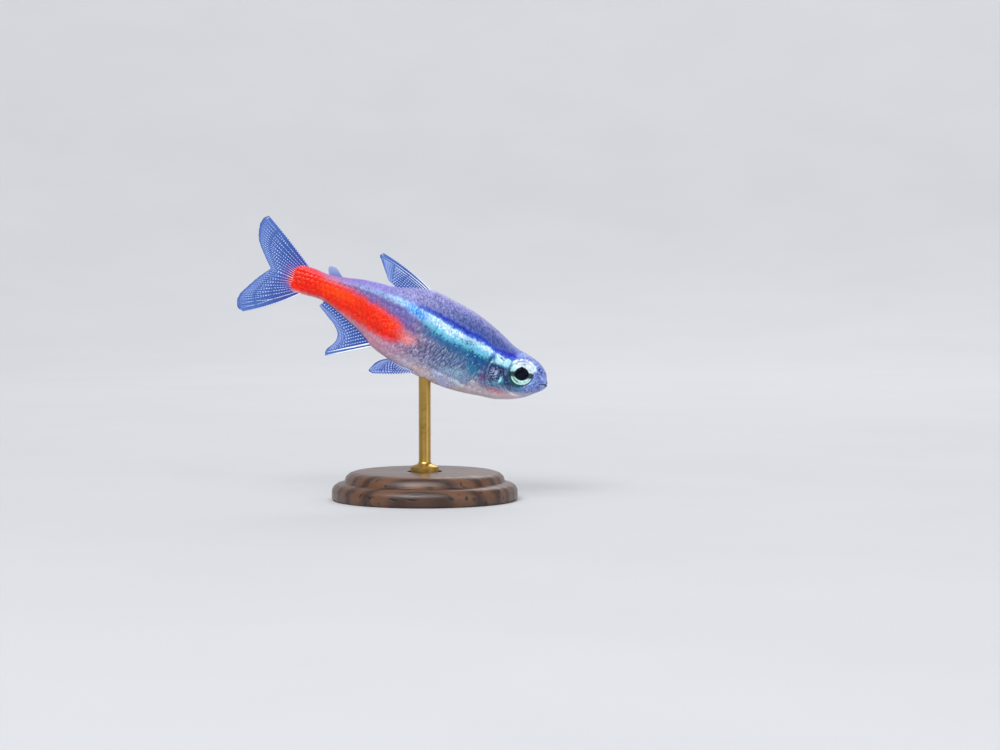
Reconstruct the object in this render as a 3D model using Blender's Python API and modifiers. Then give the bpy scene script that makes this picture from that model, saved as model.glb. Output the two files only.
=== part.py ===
"""A neon tetra, life size, held in a head-down swim by one short rod on a turned wooden base.

Metres, +Z up. The origin is the middle of the base's underside, the head points to +X and the
fish's left side to +Y. The fish is modelled level in its own frame, with its snout tip at that
frame's origin, and hangs from one empty that pitches it and sets it on the rod. Its sizes are
given in millimetres: "back" is behind the snout tip, "up" is over the body's axis, and "left"
is out to the fish's left.
"""

import math

import bmesh
import bpy
from mathutils import Vector

MM = 0.001

# The clear space between pieces that touch, and the angle from which an edge is a sharp one.
GAP = 0.3
SIDES = ((1, "left"), (-1, "right"))
SHARP_ANGLE = math.radians(40)

# The fish: from the snout tip to the end of the tail stalk, and how far its head dips.
BODY_LENGTH = 25.0
HEAD_DOWN = math.radians(22.7)

# The body's outline: back, height of the back, height of the belly, half of the width.
BODY_STATIONS = (
    ("snout tip", 0.0, -0.10, -0.10, 0.00),
    ("lips", 0.5, 0.87, -0.92, 0.60),
    ("nostril", 1.5, 1.60, -1.68, 1.12),
    ("eye", 2.75, 1.90, -2.42, 1.46),
    ("nape", 4.0, 2.10, -2.92, 1.64),
    ("gill cover", 6.0, 2.86, -3.45, 1.82),
    ("shoulder", 8.5, 3.57, -3.82, 1.88),
    ("belly", 11.0, 3.88, -3.83, 1.80),
    ("dorsal fin", 12.8, 3.98, -3.66, 1.64),
    ("vent", 14.5, 3.55, -3.36, 1.44),
    ("anal fin", 16.0, 2.98, -2.98, 1.24),
    ("middle of the anal fin", 17.5, 2.74, -2.16, 1.08),
    ("rear of the anal fin", 19.0, 2.47, -1.60, 0.92),
    ("narrowest stalk", 22.2, 1.65, -0.78, 0.62),
    ("stalk", 23.7, 1.63, -0.96, 0.50),
    ("tail base", 25.0, 1.50, -1.16, 0.38),
)
WIDEST_SHARE = 0.54
BACK_FULLNESS = 2.15
BELLY_FULLNESS = 1.95
BODY_RINGS = 46
BODY_SIDES = 32
RING_SPREAD = 1.4

# Where the head ends: an arc round the gill covers, from the nape to the throat.
GILL_ARC_BACK, GILL_ARC_UP = 2.9, -0.5
GILL_ARC_RADIUS = 3.3
TORSO_END = 15.75
CLEAR_OF_BODY = 8.0
ARC_STEPS = 28

# The eye: its place, its size, and how far its axis is turned to the front.
EYE_BACK, EYE_UP, EYE_LEFT = 2.56, 0.10, 1.28
EYE_FORWARD = math.radians(10)
EYE_RADIUS = 1.12
PUPIL_RADIUS = 0.60
PUPIL_GROOVE = 0.11
EYE_DOME = 0.36
EYE_DEPTH = 0.58
SOCKET_GAP = 0.22
SOCKET_CUT_HEIGHT = 1.0
RIM_RADIUS = 0.10
EYE_STEPS = 28

# The mouth: a slit from the tip of the snout back and down to its corner, with two lips.
MOUTH_TIP = (-0.40, 0.08)
MOUTH_CORNER = (1.15, -0.74)
MOUTH_HALF_OPEN = 0.045
LIP_RADIUS = 0.14
LIP_OFFSET = 0.14

# The paired nostrils: back, up and radius of the front and of the rear opening.
NOSTRILS = ((0.92, 0.86, 0.11), (1.20, 1.02, 0.14))

# The groove along the edge of the cheek, in front of the gill cover.
CHEEK_ARC_RADIUS = 1.92
CHEEK_ARC_TOP = math.radians(30)
CHEEK_ARC_FOOT = math.radians(-100)
CHEEK_GROOVE_RADIUS = 0.09

# Fins: thickness over a ray, the shares of it over the membrane and at the tips, how much of a
# ray's length thins out, how far the membrane stays short of it, and how deep a root is sunk
# before it is trimmed to the body.
RAY_THICKNESS = 0.70
MEMBRANE_SHARE = 0.72
TIP_SHARE = 0.42
TIP_LENGTH_SHARE = 0.2
MEMBRANE_NOTCH = 0.03
COLUMNS_PER_RAY = 3
PLAIN_FIN_COLUMNS = 5
ROOT_SUNK = 0.6

# Each fin's roots and ray tips: share from the leading ray to the last, then back, up and left.
# A fin of the back or belly has the stretch of that outline that it stands on for its root.
DORSAL_ROOT = (12.9, 15.5)
DORSAL_TIPS = (
    (0.0, 18.40, 5.35, 0.0), (0.12, 18.62, 5.05, 0.0), (0.3, 18.30, 4.66, 0.0),
    (0.55, 17.75, 4.22, 0.0), (0.8, 17.20, 3.72, 0.0), (1.0, 16.80, 3.36, 0.0))
ADIPOSE_ROOT = (21.2, 22.1)
ADIPOSE_TIPS = ((0.0, 22.10, 2.42, 0.0), (0.5, 22.62, 2.50, 0.0), (1.0, 22.60, 2.16, 0.0))
ANAL_ROOT = (15.95, 21.9)
ANAL_TIPS = (
    (0.0, 19.75, -5.35, 0.0), (0.1, 19.85, -4.80, 0.0), (0.2, 19.42, -3.95, 0.0),
    (0.35, 19.42, -3.12, 0.0), (0.5, 19.95, -2.50, 0.0), (0.7, 20.85, -1.98, 0.0),
    (0.85, 21.55, -1.66, 0.0), (1.0, 22.30, -1.40, 0.0))
HALF_GAP = GAP / 2
UPPER_LOBE_ROOT = ((0.0, 23.6, 1.34, 0.0), (0.3, 24.5, 0.90, 0.0), (1.0, 24.7, HALF_GAP, 0.0))
UPPER_LOBE_TIPS = (
    (0.0, 29.50, 4.42, 0.0), (0.12, 29.85, 3.85, 0.0), (0.3, 29.88, 3.00, 0.0),
    (0.5, 29.65, 2.15, 0.0), (0.75, 28.80, 1.08, 0.0), (1.0, 27.50, HALF_GAP, 0.0))
LOWER_LOBE_ROOT = ((0.0, 23.8, -0.80, 0.0), (0.3, 24.5, -0.66, 0.0), (1.0, 24.7, -HALF_GAP, 0.0))
LOWER_LOBE_TIPS = (
    (0.0, 28.60, -4.45, 0.0), (0.15, 29.20, -3.80, 0.0), (0.3, 29.22, -3.10, 0.0),
    (0.5, 28.90, -2.20, 0.0), (0.75, 28.30, -1.15, 0.0), (1.0, 27.50, -HALF_GAP, 0.0))
PELVIC_ROOT = ((0.0, 12.0, -3.66, 0.95), (1.0, 13.2, -3.56, 0.50))
PELVIC_TIPS = (
    (0.0, 15.45, -5.00, 1.55), (0.15, 15.60, -4.72, 1.50),
    (0.5, 15.35, -4.25, 1.25), (1.0, 14.90, -3.95, 0.85))
PECTORAL_ROOT = ((0.0, 6.60, -1.95, 1.54), (1.0, 6.90, -2.65, 1.28))
PECTORAL_TIPS = (
    (0.0, 10.25, -2.35, 3.55), (0.15, 10.35, -2.70, 3.50),
    (0.5, 9.80, -3.35, 3.05), (1.0, 8.70, -3.75, 2.35))

# The stand: a turned base, and a rod whose foot sits in a shallow bore. The moulding round the
# base is given as how far in from its edge, and its height over the floor.
BASE_RADIUS = 8.5
BASE_HEIGHT = 2.6
BASE_MOULDING = (
    (2.2, 2.6), (1.7, 2.45), (1.3, 2.1), (1.15, 1.65), (0.45, 1.5), (0.1, 1.2),
    (0.0, 0.75), (0.0, 0.25), (0.25, 0.0))
BORE_RADIUS = 1.6
BORE_DEPTH = 0.7
ROD_RADIUS = 0.55
ROD_FOOT_RADIUS = 1.3
ROD_FOOT_HEIGHT = 1.0
ROD_BACK = 10.5
BELLY_OVER_BASE = 8.4
TURNED_STEPS = 48


def clear_scene():
    for obj in list(bpy.data.objects):
        bpy.data.objects.remove(obj)


def new_collection(name):
    collection = bpy.data.collections.new(name)
    bpy.context.scene.collection.children.link(collection)
    return collection


def new_material(name, colour, roughness, metallic=0.0):
    material = bpy.data.materials.new(name)
    material.use_nodes = True
    shader = material.node_tree.nodes["Principled BSDF"]
    shader.inputs["Base Color"].default_value = (*colour, 1.0)
    shader.inputs["Roughness"].default_value = roughness
    shader.inputs["Metallic"].default_value = metallic
    return material


clear_scene()
MODEL = new_collection("neon_tetra")
CUTTERS = new_collection("cutters")

SILVER_SKIN = new_material("silver_skin", (0.46, 0.50, 0.60), 0.35)
RED_SKIN = new_material("red_skin", (0.80, 0.08, 0.02), 0.38)
FIN_MEMBRANE = new_material("fin_membrane", (0.30, 0.42, 0.70), 0.40)
SILVER_EYE = new_material("silver_eye", (0.55, 0.75, 0.72), 0.15)
DARK_WOOD = new_material("dark_wood", (0.09, 0.045, 0.022), 0.45)
SATIN_BRASS = new_material("satin_brass", (0.78, 0.60, 0.28), 0.30, 1.0)

POSE = bpy.data.objects.new("fish_pose", None)
MODEL.objects.link(POSE)


def add_object(name, data, material=None, collection=MODEL, parent=POSE):
    obj = bpy.data.objects.new(name, data)
    collection.objects.link(obj)
    obj.parent = parent
    if material:
        data.materials.append(material)
    if collection == CUTTERS:
        obj.hide_render = True
        obj.display_type = "WIRE"
    return obj


def add_mesh(name, bm, material=None, collection=MODEL, parent=POSE):
    """A mesh object from a bmesh, with its faces turned outwards."""
    bmesh.ops.recalc_face_normals(bm, faces=bm.faces)
    mesh = bpy.data.meshes.new(name)
    bm.to_mesh(mesh)
    bm.free()
    mesh.shade_smooth()
    mesh.set_sharp_from_angle(angle=SHARP_ANGLE)
    return add_object(name, mesh, material, collection, parent)


def boolean(obj, other, operation="DIFFERENCE"):
    modifier = obj.modifiers.new(operation.lower(), "BOOLEAN")
    modifier.operation = operation
    modifier.solver = "EXACT"
    if isinstance(other, bpy.types.Collection):
        modifier.operand_type = "COLLECTION"
        modifier.collection = other
    else:
        modifier.object = other


def apply_modifiers(obj):
    depsgraph = bpy.context.evaluated_depsgraph_get()
    mesh = bpy.data.meshes.new_from_object(obj.evaluated_get(depsgraph))
    obj.modifiers.clear()
    obj.data = mesh


def in_fish(back, up, left=0.0):
    return Vector((-back, left, up)) * MM


def smooth_values(keys):
    """A function that runs smoothly through (place, value) pairs, in rising order of place."""
    places, values = zip(*keys)
    steps = [b - a for a, b in zip(places, places[1:])]
    slopes = [(b - a) / step for a, b, step in zip(values, values[1:], steps)]
    tangents = [slopes[0]]
    for before, after, left, right in zip(slopes, slopes[1:], steps, steps[1:]):
        tangents.append((before * right + after * left) / (left + right))
    tangents.append(slopes[-1])

    def value_at(place):
        index = max(i for i in range(len(steps)) if i == 0 or places[i] <= place)
        share = (place - places[index]) / steps[index]
        rise = values[index + 1] - values[index]
        start, end = tangents[index] * steps[index], tangents[index + 1] * steps[index]
        curve = share * (start + end - 2 * rise) + 3 * rise - 2 * start - end
        return values[index] + share * (start + share * curve)

    return value_at


def outline(column):
    """A measure of the body by distance behind the snout, blunt at the snout tip."""
    by_root = smooth_values([(math.sqrt(row[1]), row[column]) for row in BODY_STATIONS])
    return lambda back: by_root(math.sqrt(max(back, 0.0)))


back_height, belly_height, half_width = (outline(column) for column in (2, 3, 4))


def widest_height(back):
    bottom = belly_height(back)
    return bottom + WIDEST_SHARE * (back_height(back) - bottom)


def flank(back, up):
    """Half of the body's width at one height."""
    widest = widest_height(back)
    edge, fullness = (
        (back_height(back), BACK_FULLNESS) if up > widest else (belly_height(back), BELLY_FULLNESS)
    )
    share = min(abs((up - widest) / (edge - widest)), 1.0)
    return half_width(back) * (1.0 - share**fullness) ** (1.0 / fullness)


def make_body(name, grow=0.0, material=None, collection=CUTTERS):
    """The whole body in one skin: a globe on its side, its rings drawn out to the stations."""
    bm = bmesh.new()
    bmesh.ops.create_uvsphere(bm, u_segments=BODY_SIDES, v_segments=BODY_RINGS, radius=1.0)
    last_ring = 1.0 - 1.0 / BODY_RINGS
    for vert in bm.verts:
        along = math.acos(max(-1.0, min(1.0, vert.co.z))) / math.pi / last_ring
        back = BODY_LENGTH * min(along, 1.0) ** RING_SPREAD
        widest = widest_height(back)
        around = math.atan2(vert.co.y, vert.co.x)
        above = math.sin(around) > 0
        power = 2.0 / (BACK_FULLNESS if above else BELLY_FULLNESS)
        edge = back_height(back) + grow if above else belly_height(back) - grow
        lift = abs(math.sin(around)) ** power * (edge - widest)
        reach = math.copysign(abs(math.cos(around)) ** power, math.cos(around))
        left = reach * (half_width(back) + grow)
        if math.hypot(vert.co.x, vert.co.y) < 1e-4:
            lift = left = 0.0
        if along < 1e-3:
            back -= grow
        elif along > 0.999:
            back += grow
        vert.co = in_fish(back, widest + lift, left)
    return add_mesh(name, bm, material, collection)


def make_slab(name, corners):
    """A cutter right across the fish, from its outline in back and up."""
    curve = bpy.data.curves.new(name, "CURVE")
    curve.dimensions = "2D"
    curve.fill_mode = "BOTH"
    curve.extrude = CLEAR_OF_BODY * MM
    spline = curve.splines.new("POLY")
    spline.points.add(len(corners) - 1)
    spline.use_cyclic_u = True
    for point, (back, up) in zip(spline.points, corners):
        point.co = (-back * MM, up * MM, 0.0, 1.0)
    slab = mesh_from_curve(name, curve, None, CUTTERS)
    slab.rotation_euler.x = math.radians(90)
    return slab


def mesh_from_curve(name, curve, material, collection):
    """A closed mesh object from a curve, with its caps welded."""
    source = bpy.data.objects.new(name, curve)
    MODEL.objects.link(source)
    bpy.context.view_layer.update()
    evaluated = source.evaluated_get(bpy.context.evaluated_depsgraph_get())
    bm = bmesh.new()
    bm.from_mesh(bpy.data.meshes.new_from_object(evaluated))
    bmesh.ops.remove_doubles(bm, verts=bm.verts, dist=0.001 * MM)
    bpy.data.objects.remove(source)
    return add_mesh(name, bm, material, collection)


def make_tube(name, points, radii, collection=CUTTERS, cyclic=False):
    """A round bar along points of the fish's frame, with a radius at each."""
    curve = bpy.data.curves.new(name, "CURVE")
    curve.dimensions = "3D"
    curve.bevel_depth = MM
    curve.bevel_resolution = 1
    curve.use_fill_caps = True
    spline = curve.splines.new("POLY")
    spline.points.add(len(points) - 1)
    spline.use_cyclic_u = cyclic
    for target, point, radius in zip(spline.points, points, radii):
        target.co = (*point, 1.0)
        target.radius = radius
    return mesh_from_curve(name, curve, None, collection)


def make_turned(name, profile, steps, material=None, collection=MODEL, parent=POSE):
    """A turned piece from (radius, height) pairs that run down its outer side."""
    bm = bmesh.new()
    verts = [bm.verts.new((radius * MM, 0.0, height * MM)) for radius, height in profile]
    for a, b in zip(verts, verts[1:]):
        bm.edges.new((a, b))
    mesh = bpy.data.meshes.new(name)
    bm.to_mesh(mesh)
    bm.free()
    obj = add_object(name, mesh, material, collection, parent)
    screw = obj.modifiers.new("turn", "SCREW")
    screw.steps = screw.render_steps = steps
    screw.use_merge_vertices = True
    screw.merge_threshold = 0.0001 * MM
    return obj


def ends_tapered(count, radius, end_share=0.3, run=5):
    """A radius for each of a bar's points, thinner over the first and last few."""
    shares = [min(i, count - 1 - i, run) / run for i in range(count)]
    return [radius * (end_share + (1 - end_share) * share) for share in shares]


def gill_outline(radius):
    """The outline of all that lies in front of the gill covers' rear edge."""
    quarter = math.pi / 2
    turns = [quarter - 2 * quarter * i / ARC_STEPS for i in range(ARC_STEPS + 1)]
    arc = [
        (GILL_ARC_BACK + radius * math.cos(turn), GILL_ARC_UP + radius * math.sin(turn))
        for turn in turns
    ]
    front = -CLEAR_OF_BODY
    return [(front, GILL_ARC_UP + radius), *arc, (front, GILL_ARC_UP - radius)]


def box_outline(front, rear):
    top = CLEAR_OF_BODY
    return [(front, top), (rear, top), (rear, -top), (front, -top)]


def on_skin(back, up, side, lift=0.0):
    return in_fish(back, up, side * (flank(back, up) + lift))


def make_lip(name, offset, collection):
    """A lip from one corner of the mouth round the snout to the other."""
    reach = 12
    tip_back, tip_up = MOUTH_TIP
    corner_back, corner_up = MOUTH_CORNER
    slope = (corner_up - tip_up) / (corner_back - tip_back)
    points = []
    for i in range(-reach, reach + 1):
        back = 0.06 + (corner_back - 0.06) * (i / reach) ** 2
        up = tip_up + slope * (back - tip_back) + offset
        points.append(on_skin(back, up, (i > 0) - (i < 0)))
    return make_tube(name, points, ends_tapered(len(points), LIP_RADIUS), collection)


def arc_on_skin(radius, start, end, steps, side):
    """Points on the skin along an arc about the eye."""
    turns = [start + (end - start) * i / steps for i in range(steps + 1)]
    return [
        on_skin(EYE_BACK + radius * math.cos(t), EYE_UP + radius * math.sin(t), side)
        for t in turns
    ]


def turn_to_side(obj, side):
    """Sets a turned eye or its socket in the head, its axis out to one side and a bit forward."""
    obj.location = in_fish(EYE_BACK, EYE_UP, side * EYE_LEFT)
    outwards = Vector((math.sin(EYE_FORWARD), side * math.cos(EYE_FORWARD), 0.0))
    obj.rotation_euler = outwards.to_track_quat("Z", "Y").to_euler()


def dome(radius, top, depth, steps=5):
    """Half of the outline of an eye: a low dome over the rim, and a bowl behind it."""
    quarter = math.pi / 2
    over = [(radius * math.sin(quarter * i / steps), top * math.cos(quarter * i / steps))
            for i in range(steps + 1)]
    under = [(radius * math.cos(quarter * i / steps), -depth * math.sin(quarter * i / steps))
             for i in range(1, steps + 1)]
    return over + under


def make_eye(name, side):
    """An eyeball: the clear dome with the edge of the pupil let into it, and a round back."""
    profile = dome(EYE_RADIUS, EYE_DOME, EYE_DEPTH)
    eye = make_turned(name, profile, EYE_STEPS, SILVER_EYE)
    turn_to_side(eye, side)
    inner, outer = PUPIL_RADIUS, PUPIL_RADIUS + PUPIL_GROOVE
    floor = EYE_DOME - PUPIL_GROOVE
    ring = [(inner, EYE_DOME), (outer, EYE_DOME), (outer, floor), (inner, floor), (inner, EYE_DOME)]
    groove = make_turned(f"{name}_pupil_edge", ring, EYE_STEPS, None, CUTTERS)
    turn_to_side(groove, side)
    boolean(eye, groove)


def make_head(body):
    """The head to the gill covers' edge, with lips, mouth, nostrils, sockets and cheek grooves."""
    head = add_object("head", body.data.copy(), SILVER_SKIN)
    boolean(head, make_slab("head_space", gill_outline(GILL_ARC_RADIUS)), "INTERSECT")
    raised = new_collection("head_pieces")
    make_lip("upper_lip", LIP_OFFSET, raised)
    make_lip("lower_lip", -LIP_OFFSET, raised)
    for side, _ in SIDES:
        ring = arc_on_skin(EYE_RADIUS + SOCKET_GAP, 0.0, 2 * math.pi, 28, side)[:-1]
        make_tube(f"eye_rim_{side}", ring, [RIM_RADIUS] * len(ring), raised, cyclic=True)
    boolean(head, raised, "UNION")
    apply_modifiers(head)
    for piece in list(raised.objects):
        bpy.data.objects.remove(piece)
    bpy.data.collections.remove(raised)

    tip_back, tip_up = MOUTH_TIP
    corner_back, corner_up = MOUTH_CORNER
    slit = make_slab("mouth_slit", [
        (tip_back, tip_up + MOUTH_HALF_OPEN), (corner_back, corner_up + MOUTH_HALF_OPEN),
        (corner_back, corner_up - MOUTH_HALF_OPEN), (tip_back, tip_up - MOUTH_HALF_OPEN)])
    boolean(head, slit)
    for side, _ in SIDES:
        bowl = dome(EYE_RADIUS + SOCKET_GAP, SOCKET_CUT_HEIGHT, EYE_DEPTH + SOCKET_GAP)
        socket = make_turned(f"socket_{side}", bowl, EYE_STEPS, None, CUTTERS)
        turn_to_side(socket, side)
        boolean(head, socket)
        for index, (back, up, radius) in enumerate(NOSTRILS):
            bm = bmesh.new()
            bmesh.ops.create_uvsphere(bm, u_segments=10, v_segments=6, radius=radius * MM)
            pit = add_mesh(f"nostril_{side}_{index}", bm, None, CUTTERS)
            pit.location = on_skin(back, up, side)
            boolean(head, pit)
        arc = arc_on_skin(CHEEK_ARC_RADIUS, CHEEK_ARC_TOP, CHEEK_ARC_FOOT, 14, side)
        groove = make_tube(
            f"cheek_groove_{side}", arc, ends_tapered(len(arc), CHEEK_GROOVE_RADIUS))
        boolean(head, groove)
    return head


def make_torso(body):
    """The trunk, from a gap behind the gill covers to the vent."""
    torso = add_object("torso", body.data.copy(), SILVER_SKIN)
    boolean(torso, make_slab("torso_space", box_outline(0.0, TORSO_END)), "INTERSECT")
    boolean(torso, make_slab("head_clearance", gill_outline(GILL_ARC_RADIUS + GAP)))
    return torso


def make_tail_stalk(body):
    stalk = add_object("tail_stalk", body.data.copy(), RED_SKIN)
    rear = BODY_LENGTH + CLEAR_OF_BODY
    boolean(stalk, make_slab("stalk_space", box_outline(TORSO_END + GAP, rear)), "INTERSECT")
    return stalk


def through(keys):
    """A function of 0 to 1 that gives a smooth point through rows of (share, back, up, left)."""
    shares, *axes = zip(*keys)
    curves = [smooth_values(list(zip(shares, axis))) for axis in axes]
    return lambda share: tuple(curve(share) for curve in curves)


def make_fin(name, root, tips, rays, rows=7, bow=0.0, sunk=0.0):
    """A fin: a sheet from its root to the tips of its rays, ridged over each ray.

    Root and tips are smooth points for shares of 0, the leading ray, to 1. The bow lifts the
    leading rays' middles away from the rays behind them. A ray stands out of the membrane on
    both faces, and the membrane is notched between the rays' tips. With no rays it is a smooth
    fold of skin.
    """
    columns = COLUMNS_PER_RAY * (rays - 1) if rays else PLAIN_FIN_COLUMNS
    bm = bmesh.new()
    weight_layer = bm.verts.layers.deform.verify()
    sheet = []
    for column in range(columns + 1):
        share = column / columns
        on_ray = not rays or column % COLUMNS_PER_RAY == 0
        start, end = Vector(in_fish(*root(share))), Vector(in_fish(*tips(share)))
        ray = end - start
        ahead = Vector(in_fish(*tips(0.0))) - Vector(in_fish(*tips(0.3)))
        ahead = (ahead - ahead.project(ray)).normalized()
        start -= ray.normalized() * sunk * MM
        line = []
        for row in range(rows + 1):
            along = row / rows
            reach = along * (1.0 if on_ray else 1.0 - MEMBRANE_NOTCH)
            lift = 4 * reach * (1 - reach) * bow * (1 - share) ** 2 * MM
            vert = bm.verts.new(start + (end - start) * reach + ahead * lift)
            fade = max(0.0, (along - 1 + TIP_LENGTH_SHARE) / TIP_LENGTH_SHARE)
            full = 1.0 if on_ray and rays else MEMBRANE_SHARE
            vert[weight_layer][0] = full + (TIP_SHARE - full) * fade
            line.append(vert)
        sheet.append(line)
    for line, following in zip(sheet, sheet[1:]):
        for row in range(rows):
            bm.faces.new((line[row], line[row + 1], following[row + 1], following[row]))
    bmesh.ops.triangulate(bm, faces=bm.faces)
    fin = add_mesh(name, bm, FIN_MEMBRANE)
    fin.vertex_groups.new(name="thickness")
    thicken = fin.modifiers.new("thickness", "SOLIDIFY")
    thicken.thickness = RAY_THICKNESS * MM
    thicken.offset = 0.0
    thicken.vertex_group = "thickness"
    return fin


def along_outline(height, stretch, offset):
    """A root that runs along a stretch of the back or the belly, a gap away from it."""
    front, rear = stretch

    def root(share):
        back = front + (rear - front) * share
        return back, height(back) + offset, 0.0

    return root


def make_middle_fins():
    make_fin("dorsal_fin", along_outline(back_height, DORSAL_ROOT, GAP), through(DORSAL_TIPS),
             rays=11, rows=8, bow=0.22)
    make_fin("adipose_fin", along_outline(back_height, ADIPOSE_ROOT, GAP), through(ADIPOSE_TIPS),
             rays=0, rows=5)
    make_fin("anal_fin", along_outline(belly_height, ANAL_ROOT, -GAP), through(ANAL_TIPS),
             rays=20, rows=6)


def make_tail_fin(clearance):
    """The two lobes of the tail fin, parted between the middle rays and trimmed to the stalk."""
    upper = make_fin("tail_fin_upper", through(UPPER_LOBE_ROOT), through(UPPER_LOBE_TIPS),
                     rays=10, rows=9, bow=0.12)
    lower = make_fin("tail_fin_lower", through(LOWER_LOBE_ROOT), through(LOWER_LOBE_TIPS),
                     rays=9, rows=9, bow=0.4)
    for lobe in (upper, lower):
        boolean(lobe, clearance)


def on_side(keys, side):
    return through([(share, back, up, side * left) for share, back, up, left in keys])


def make_paired_fins(clearance):
    """The pelvic and pectoral fins, their roots sunk in the body and trimmed to it."""
    for side, word in SIDES:
        pelvic = make_fin(
            f"pelvic_fin_{word}", on_side(PELVIC_ROOT, side), on_side(PELVIC_TIPS, side),
            rays=8, rows=6, bow=0.1, sunk=ROOT_SUNK)
        pectoral = make_fin(
            f"pectoral_fin_{word}", on_side(PECTORAL_ROOT, side), on_side(PECTORAL_TIPS, side),
            rays=11, rows=6, bow=0.15, sunk=ROOT_SUNK)
        for fin in (pelvic, pectoral):
            boolean(fin, clearance)


def make_stand(clearance):
    """The turned base with a moulded edge, and the rod with its foot in the bore."""
    bore_floor = BASE_HEIGHT - BORE_DEPTH
    moulding = [(BASE_RADIUS - inset, height) for inset, height in BASE_MOULDING]
    make_turned(
        "stand_base",
        [(0.0, bore_floor), (BORE_RADIUS, bore_floor), (BORE_RADIUS, BASE_HEIGHT), *moulding, (0.0, 0.0)],
        TURNED_STEPS, DARK_WOOD, parent=None)
    foot = bore_floor + GAP
    foot_top = foot + ROD_FOOT_HEIGHT
    top = BASE_HEIGHT + BELLY_OVER_BASE + 1.0
    rod = make_turned(
        "stand_rod",
        [(0.0, top), (ROD_RADIUS, top), (ROD_RADIUS, foot_top + 0.25), (ROD_RADIUS + 0.2, foot_top),
         (ROD_FOOT_RADIUS, foot_top - 0.2), (ROD_FOOT_RADIUS, foot), (0.0, foot)],
        TURNED_STEPS // 2, SATIN_BRASS, parent=None)
    boolean(rod, clearance)


def set_pose():
    """Dips the head, and puts the belly's point over the rod at its height over the base."""
    POSE.rotation_euler.y = HEAD_DOWN
    held = in_fish(ROD_BACK, belly_height(ROD_BACK))
    held.rotate(POSE.rotation_euler)
    POSE.location = Vector((0.0, 0.0, (BASE_HEIGHT + BELLY_OVER_BASE) * MM)) - held


set_pose()
whole_body = make_body("whole_body")
fin_clearance = make_body("fin_clearance", GAP)
make_head(whole_body)
make_torso(whole_body)
make_tail_stalk(whole_body)
for eye_side, eye_word in SIDES:
    make_eye(f"eye_{eye_word}", eye_side)
make_middle_fins()
make_tail_fin(fin_clearance)
make_paired_fins(fin_clearance)
make_stand(fin_clearance)
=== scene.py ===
"""A life-size neon tetra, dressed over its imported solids: skin, scales, eyes, fins and stand.

Sizes are in millimetres in the fish's own level frame, where "back" is behind the snout tip,
"left" is out to the fish's left and "up" is over the body's axis. The meshes are in metres.
"""

import math
import random

import bmesh
import bpy
import numpy as np
from mathutils import Matrix, Vector

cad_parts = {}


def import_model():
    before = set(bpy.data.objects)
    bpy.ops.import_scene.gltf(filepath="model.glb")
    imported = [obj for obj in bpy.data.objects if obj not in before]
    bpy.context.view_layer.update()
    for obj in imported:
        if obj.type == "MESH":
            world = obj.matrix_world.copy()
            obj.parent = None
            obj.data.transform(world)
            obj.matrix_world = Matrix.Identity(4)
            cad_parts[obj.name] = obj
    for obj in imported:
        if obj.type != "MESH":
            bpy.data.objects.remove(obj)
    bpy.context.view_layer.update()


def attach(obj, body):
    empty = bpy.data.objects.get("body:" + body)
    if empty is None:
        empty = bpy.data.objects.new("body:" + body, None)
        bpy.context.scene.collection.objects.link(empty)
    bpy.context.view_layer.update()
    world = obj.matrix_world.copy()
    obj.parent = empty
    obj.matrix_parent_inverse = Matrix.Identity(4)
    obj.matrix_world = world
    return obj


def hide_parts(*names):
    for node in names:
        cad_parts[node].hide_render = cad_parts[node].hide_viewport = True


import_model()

# The skin: one hide without a seam from the lips to the tail base, thin, wet and silvery, with
# lips, nostrils, cheek bones and the free edge of the gill covers. Its blue and red come from
# layers of tiny crystals and pigment cells under a clear film of slime.
MM = 0.001
BODY_LENGTH = 25.0
HEAD_DOWN = math.radians(22.7)
# Each station's name, its distance behind the snout, how high the back and the belly stand over
# the axis there, and half the body's width.
BODY_STATIONS = (
    ("snout tip", 0.0, -0.10, -0.10, 0.00),
    ("lips", 0.5, 0.87, -0.92, 0.60),
    ("nostril", 1.5, 1.60, -1.68, 1.12),
    ("eye", 2.75, 1.90, -2.42, 1.46),
    ("nape", 4.0, 2.10, -2.92, 1.64),
    ("gill cover", 6.0, 2.86, -3.45, 1.82),
    ("shoulder", 8.5, 3.57, -3.82, 1.88),
    ("belly", 11.0, 3.88, -3.83, 1.80),
    ("dorsal fin", 12.8, 3.98, -3.66, 1.64),
    ("vent", 14.5, 3.55, -3.36, 1.44),
    ("anal fin", 16.0, 2.98, -2.98, 1.24),
    ("middle of the anal fin", 17.5, 2.74, -2.16, 1.08),
    ("rear of the anal fin", 19.0, 2.47, -1.60, 0.92),
    ("narrowest stalk", 22.2, 1.65, -0.78, 0.62),
    ("stalk", 23.7, 1.63, -0.96, 0.50),
    ("tail base", 25.0, 1.50, -1.16, 0.38),
)
WIDEST_SHARE = 0.54
BACK_FULLNESS = 2.15
BELLY_FULLNESS = 1.95
TAIL_END_STARTS, TAIL_END = 24.5, 25.5
TAIL_WEDGE_STARTS, TAIL_WEDGE = 23.3, 0.72
ROD_BACK = 10.5
BELLY_OVER_FLOOR = 11.0

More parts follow.
